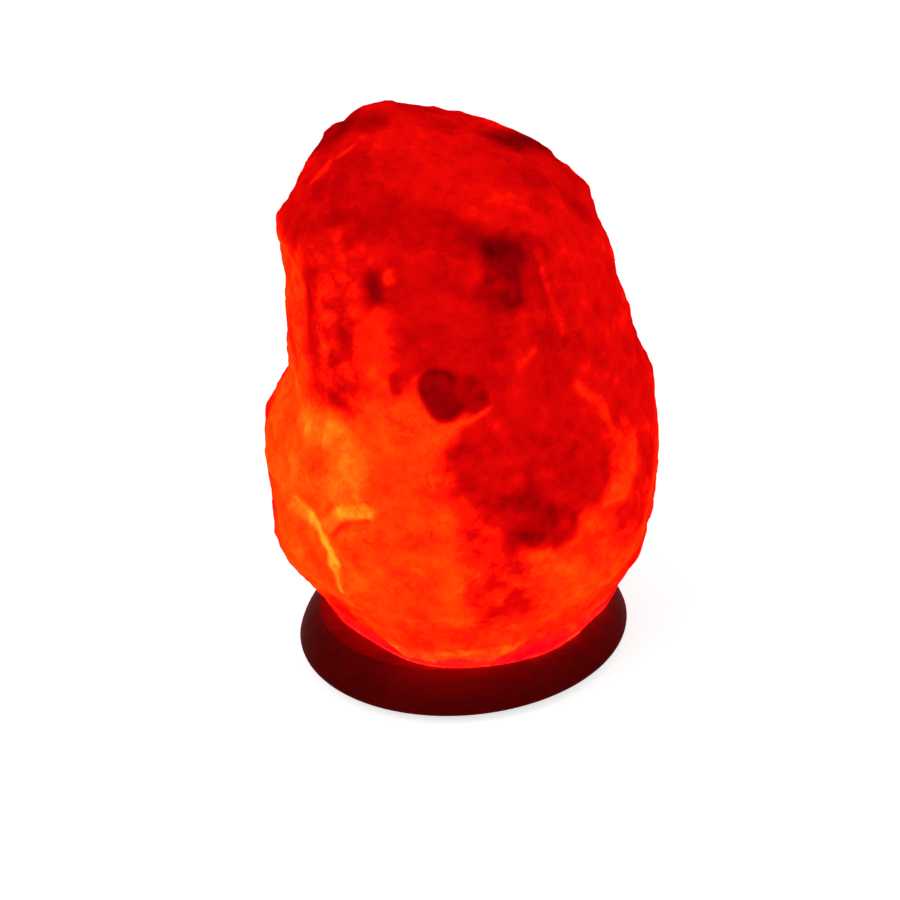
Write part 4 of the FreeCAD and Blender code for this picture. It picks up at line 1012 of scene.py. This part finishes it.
    def glow(self, points: np.ndarray) -> tuple[np.ndarray, np.ndarray]:
        """Work out how much of the bulb's light gets through, and how mottled the salt is.

        It is greatest level with the bulb and drifts with large clouds in the salt.  Each patch
        then draws it to its own level, at places nudged by noise so that edges are ragged, and
        says how far small marks may vary it.  Light and shade are painted from the relief: what
        stands out, such as the ridges between scallops, is a little lighter and the hollows darker,
        and slopes that look towards the clearest side are lighter, as if lit from there.  The edge
        that meets the base is lighter too.
        """
        axes = [layered_noise(points, self.edge_spacing, Seed.EDGES + axis, 4) for axis in range(3)]
        nudge = self.raggedness * np.stack(axes, axis=-1)
        rise = (points[..., 2] - self.bulb_level) / self.bulb_reach
        light = self.least_light + self.bulb_light * np.exp(-(rise**2))
        light = light + self.cloud_light * layered_noise(points, self.cloud_spacing, Seed.CLOUDS)
        mottle = np.full(light.shape, self.mottle)
        for patch in PATCHES:
            share = patch.share(points + patch.ragged * nudge)
            light = light + share * (patch.level - light)
            mottle = mottle + share * (patch.mottle - mottle)
        # small marks in the salt, then painted light on what stands out and painted shade in the
        # hollows
        light = light + mottle * self.marks(points) + self.painted_ridge_light * self.roughness(points)
        # painted shading of slopes, as if lit from the clearest side
        light = light - self.painted_slope_light * self.slope(points)
        above = points[..., 2] - self.seat
        light = light - self.foot_shade * (1 - smooth_step(above, 0, self.foot_shade_height))
        light = light + self.foot_light * np.exp(-above / self.foot_band)
        return np.clip(light, self.darkest, 1.0), np.clip(mottle / self.full_mottle, 0.0, 1.0)

    def slope(self, points: np.ndarray) -> np.ndarray:
        """Return how steeply the roughness rises towards the stone's clearest side, for the painted
        shading of slopes.
        """
        step = np.array(self.painted_light_side)
        return (self.roughness(points + step) - self.roughness(points - step)) / 2

    def marks(self, points: np.ndarray) -> np.ndarray:
        """Return small marks in the salt, from -1 to 1.

        Blotches are the hyperbolic tangent of a noise, so that their edges are crisp; dark hairlines
        run where another noise passes through nought, and pale flecks stand where a third is high.
        """
        blotches = layered_noise(points, self.blotch_spacing, Seed.BLOTCHES, 3)
        blotches = np.tanh(self.blotch_crispness * blotches)
        hairlines = layered_noise(points, self.hairline_spacing, Seed.HAIRLINES, 3)
        hairlines = np.exp(-((hairlines / self.hairline_width) ** 2))
        flecks = layered_noise(points, self.fleck_spacing, Seed.FLECKS, 2)
        flecks = smooth_step(flecks, *self.fleck_range)
        marks = self.blotch_share * blotches - self.hairline_share * hairlines
        return marks + self.fleck_share * flecks

    def build(self, finish: RockSalt) -> bpy.types.Object:
        """Make the stone's object, ride it and dress it.

        Args:
            finish: the material recipe.

        Returns:
            The object.
        """
        outer = self.outside()
        low, high = node_box("salt_crystal")
        outer = np.clip(outer, low + self.margin * np.array((1, 1, 0)), high - self.margin)
        inner = self.inside(outer[0])
        rings = np.concatenate((inner, outer[:-1]))
        pole = (0.0, 0.0, self.cavity_dome_level + self.cavity_radius)
        peak = tuple(outer[-1, 0])
        stone = skin("rough_salt_stone", rings, start=pole, end=peak)
        light, coarse = self.glow(outer[:-1])
        shares_of = (("glow", self.hollow_light, light), ("coarse", self.hollow_coarse, coarse))
        for name, hollow, outside in shares_of:
            shares = np.concatenate((np.full(inner.shape[:2], hollow), outside)).ravel()
            shares = np.append(shares, (hollow, outside[-1, 0]))
            attribute = stone.data.attributes.new(name, "FLOAT", "POINT")
            attribute.data.foreach_set("value", shares.astype(np.float32))
        stone.data.materials.append(finish.make())
        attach(stone, "lamp_base")
        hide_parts("salt_crystal")
        return stone


# ---------------------------------------------------------------- threads and coils


def node_box(node: str) -> tuple[np.ndarray, np.ndarray]:
    """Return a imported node's lowest and highest corners, in millimetres."""
    low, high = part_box(node)
    return np.array(low) / MM, np.array(high) / MM


def tube(path: np.ndarray, radius: float, sides: int) -> np.ndarray:
    """Return rings of a round wire along a path.

    Each ring lies in the plane square to the path, and starts in the direction in it that is also
    square to the Y axis.

    Args:
        path: the wire's centre line, in millimetres, nowhere parallel to Y.
        radius: the wire's radius.
        sides: points in a ring.

    Returns:
        The rings, one for each point of the path.
    """
    run = np.gradient(path, axis=0)
    run /= np.linalg.norm(run, axis=1, keepdims=True)
    side = np.cross(run, (0.0, 1.0, 0.0))
    side /= np.linalg.norm(side, axis=1, keepdims=True)
    other = np.cross(run, side)
    turn = np.linspace(0, 2 * np.pi, sides, endpoint=False)[None, :, None]
    return path[:, None] + radius * (np.cos(turn) * side[:, None] + np.sin(turn) * other[:, None])


@dataclass
class Filament:
    """The bulb's coiled filament, bowed between its two lead-in wires."""

    turns: int = 30
    steps: int = 16  # to a turn
    wire: float = 0.09
    sides: int = 6

    def build(self, finish: GlowingWire) -> bpy.types.Object:
        """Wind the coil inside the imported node's box, ride it and dress it.

        The centre line is x = a t, z = base + b (1 - t^2) for t from -1 to 1, and the wire goes
        round it, so many turns from end to end.
        """
        low, high = node_box("bulb_filament")
        coil = (high[1] - low[1]) / 2 - self.wire
        half = (high[0] - low[0]) / 2 - coil - self.wire
        bow = high[2] - low[2] - 2 * (coil + self.wire)
        along = np.linspace(-1, 1, self.turns * self.steps)
        middle = (low + high) / 2
        angle = np.pi * self.turns * (along + 1)
        lean = np.arctan2(-2 * bow * along, half)
        path = np.stack(
            (
                middle[0] + half * along - coil * np.cos(angle) * np.sin(lean),
                middle[1] + coil * np.sin(angle),
                low[2] + coil + self.wire + bow * (1 - along**2) + coil * np.cos(angle) * np.cos(lean),
            ),
            axis=-1,
        )
        rings = tube(path, self.wire, self.sides)
        coil_piece = skin("coiled_filament", rings, start=tuple(path[0]), end=tuple(path[-1]))
        coil_piece.data.materials.append(finish.make())
        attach(coil_piece, "bulb")
        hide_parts("bulb_filament")
        return coil_piece


@dataclass
class ThreadedNipple:
    """The threaded tube that joins the plate and the holder."""

    pitch: float = 1.0
    depth: float = 0.55
    bore: float = 3.5
    chamfer: float = 0.8
    rows_to_pitch: int = 10
    columns: int = 72

    def build(self, finish: Metal) -> bpy.types.Object:
        """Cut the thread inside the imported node's box, ride it and dress it.

        At height z and angle a the radius is R - depth * |2 f - 1|, where f is the part after the
        point of z / pitch - a / (2 pi); it is turned down towards both ends.
        """
        low, high = node_box("holder_nipple")
        radius = (high[0] - low[0]) / 2
        rows = int((high[2] - low[2]) / self.pitch * self.rows_to_pitch)
        height = np.linspace(low[2], high[2], rows)[:, None]
        turn = np.linspace(0, 2 * np.pi, self.columns, endpoint=False)[None]
        climb = height / self.pitch - turn / (2 * np.pi)
        thread = radius - self.depth * np.abs(2 * (climb - np.floor(climb)) - 1)
        end = np.minimum(height - low[2], high[2] - height)
        thread = np.minimum(thread, radius - np.maximum(self.chamfer - end, 0))
        outer = np.stack((thread * np.cos(turn), thread * np.sin(turn), height + 0 * turn), axis=-1)
        inner = outer[::-1][[0, -1]].copy()
        inner[..., 0] = self.bore * np.cos(turn)
        inner[..., 1] = self.bore * np.sin(turn)
        outer[..., :2] += (low + high)[:2] / 2
        inner[..., :2] += (low + high)[:2] / 2
        nipple = skin("threaded_nipple", np.concatenate((outer, inner)), joined=True)
        nipple.data.materials.append(finish.make())
        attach(nipple, "holder")
        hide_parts("holder_nipple")
        return nipple


# ---------------------------------------------------------------- stage


@dataclass
class PhotoCamera:
    """The camera, where the photograph was taken from."""

    target: Point = (0.3, 0.0, 81.85)
    distance: float = 800.0
    elevation: float = 27.43
    roll: float = -4.68
    lens: float = 83.92
    sensor: float = 36.0

    def build(self) -> bpy.types.Object:
        """Make the camera and make it the scene's own."""
        data = bpy.data.cameras.new("photo_camera")
        data.lens = self.lens
        data.sensor_width = self.sensor
        camera = bpy.data.objects.new("photo_camera", data)
        bpy.context.scene.collection.objects.link(camera)
        tilt = Matrix.Rotation(math.radians(90 - self.elevation), 4, "X")
        roll = Matrix.Rotation(math.radians(self.roll), 4, "Z")
        away = Matrix.Translation((0, 0, self.distance * MM))
        camera.matrix_world = Matrix.Translation(Vector(self.target) * MM) @ tilt @ roll @ away
        bpy.context.scene.camera = camera
        return camera


@dataclass
class SoftStudio:
    """A pale floor, a white surround and soft lamps, in metres and watts."""

    floor_reach: float = 4.0
    floor_lift: float = 0.70
    surround: float = 0.42
    aim: Point = (0.0, 0.0, 0.1)
    key_place: Point = (-1.1, -1.0, 1.5)
    key_width: float = 1.4
    key_energy: float = 9.0
    fill_place: Point = (1.4, -0.7, 1.0)
    fill_width: float = 1.6
    fill_energy: float = 4.0

    def build(self) -> None:
        """Make the floor, the surround and the lamps."""
        self.floor()
        self.world()
        self.lamp("key_lamp", self.key_place, self.key_width, self.key_energy)
        self.lamp("fill_lamp", self.fill_place, self.fill_width, self.fill_energy)

    def floor(self) -> None:
        """Make the floor: white to the camera, with the object's shadow on it."""
        reach = self.floor_reach
        corners = [(-reach, -reach, 0), (reach, -reach, 0), (reach, reach, 0), (-reach, reach, 0)]
        mesh = bpy.data.meshes.new("floor")
        mesh.from_pydata(corners, [], [(0, 1, 2, 3)])
        floor = bpy.data.objects.new("floor", mesh)
        bpy.context.scene.collection.objects.link(floor)
        s = Shader("pale_floor")
        s.set(Base_Color=(0.82, 0.82, 0.82), Roughness=0.9, Specular_IOR_Level=0.0)
        s.set(Emission_Color=(1.0, 1.0, 1.0))
        s.set(Emission_Strength=s.math("MULTIPLY", seen_ray(s), self.floor_lift))
        mesh.materials.append(s.material)

    def world(self) -> None:
        """Make the surround: white where the camera, gloss or glass sees it, softer as light."""
        world = bpy.data.worlds.new("surround")
        bpy.context.scene.world = world
        world.use_nodes = True
        recipe = NodeRecipe(world.node_tree)
        background = world.node_tree.nodes["Background"].inputs
        recipe.feed(background["Color"], (1.0, 1.0, 1.0))
        level = recipe.spread(seen_ray(recipe), 0.0, 1.0, self.surround, 1.0)
        recipe.feed(background["Strength"], level)

    def lamp(self, name: str, place: Point, width: float, energy: float) -> None:
        """Hang a wide square lamp at a place, turned to the object."""
        data = bpy.data.lights.new(name, "AREA")
        data.size = width
        data.energy = energy
        lamp = bpy.data.objects.new(name, data)
        bpy.context.scene.collection.objects.link(lamp)
        lamp.location = place
        way = Vector(self.aim) - Vector(place)
        lamp.rotation_euler = way.to_track_quat("-Z", "Y").to_euler()


def seen_ray(recipe: NodeRecipe) -> bpy.types.NodeSocket:
    """Return 1 for rays from the camera, off gloss or through glass, and 0 for others."""
    path = recipe.add("LightPath").outputs
    either = recipe.math("MAXIMUM", path["Is Camera Ray"], path["Is Glossy Ray"])
    return recipe.math("MAXIMUM", either, path["Is Transmission Ray"])


# ---------------------------------------------------------------- making


def dress(frame: dict, finishes: dict[str, object]) -> None:
    """Give each shown frame node the finish of its record slot.

    Args:
        finishes: a finish for each slot.
    """
    made: dict[str, bpy.types.Material] = {}
    for part in frame["record"]["subparts"]:
        thing = frame["nodes"][part["node"]]
        slot = part["material_slot"]
        if thing.hide_render:
            continue
        if slot not in made:
            made[slot] = finishes[slot].make()
        thing.data.materials.clear()
        thing.data.materials.append(made[slot])
        LOG.info("%s wears %s", part["node"], slot)


def main() -> None:
    """Build the lamp's looks round its frame."""
    logging.basicConfig(level=logging.INFO, format="%(message)s")
    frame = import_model()
    bpy.context.scene.view_settings.view_transform = "Standard"
    PhotoCamera().build()
    SoftStudio().build()
    stone = SaltStone().build(FINISHES["rock_salt"])
    filament = Filament().build(FINISHES["filament_metal"])
    nipple = ThreadedNipple().build(FINISHES["plated_steel"])
    for piece in (stone, filament, nipple):
        LOG.info("%s has %d vertices", piece.name, len(piece.data.vertices))
    dress(frame, FINISHES)


FINISHES = {
    "rock_salt": RockSalt(),
    "stained_wood": StainedWood(),
    "rubber_foot": Rubber("rubber_foot", (0.020, 0.019, 0.018), (0.050, 0.048, 0.045)),
    "rubber_bush": Rubber("rubber_bush", (0.024, 0.022, 0.021), (0.055, 0.050, 0.047)),
    "screw_steel": Metal("screw_steel", (0.62, 0.62, 0.60), (0.50, 0.49, 0.46), 0.32, Grain.TURNED),
    "anchor_plastic": Moulded("anchor_plastic", (0.46, 0.46, 0.45), (0.40, 0.40, 0.39), 0.55, 0.03),
    "plate_steel": Metal("plate_steel", (0.66, 0.66, 0.65), (0.54, 0.54, 0.52), 0.30, Grain.ROLLED),
    "spring_steel": Metal("spring_steel", (0.52, 0.52, 0.54), (0.40, 0.41, 0.44), 0.26, Grain.ROLLED),
    "plated_steel": Metal("plated_steel", (0.70, 0.68, 0.62), (0.56, 0.54, 0.48), 0.22, Grain.TURNED),
    "holder_plastic": Moulded("holder_plastic", (0.76, 0.74, 0.68), (0.70, 0.68, 0.61), 0.38, 0.02),
    "insert_ceramic": Moulded("insert_ceramic", (0.80, 0.79, 0.74), (0.72, 0.70, 0.65), 0.22, 0.01),
    "brass": Metal("brass", (0.82, 0.62, 0.28), (0.62, 0.44, 0.18), 0.24, Grain.EVEN),
    "cap_metal": Metal("cap_metal", (0.74, 0.72, 0.66), (0.60, 0.58, 0.53), 0.20, Grain.TURNED),
    "dark_glass": Moulded("dark_glass", (0.012, 0.012, 0.018), (0.020, 0.020, 0.028), 0.12, 0.005),
    "solder": Metal("solder", (0.62, 0.62, 0.62), (0.46, 0.46, 0.47), 0.34, Grain.EVEN),
    "bulb_glass": ClearGlass("bulb_glass"),
    "wire_metal": Metal("wire_metal", (0.56, 0.53, 0.50), (0.44, 0.41, 0.38), 0.30, Grain.EVEN),
    "filament_metal": GlowingWire(),
}


if __name__ == "__main__":
    main()
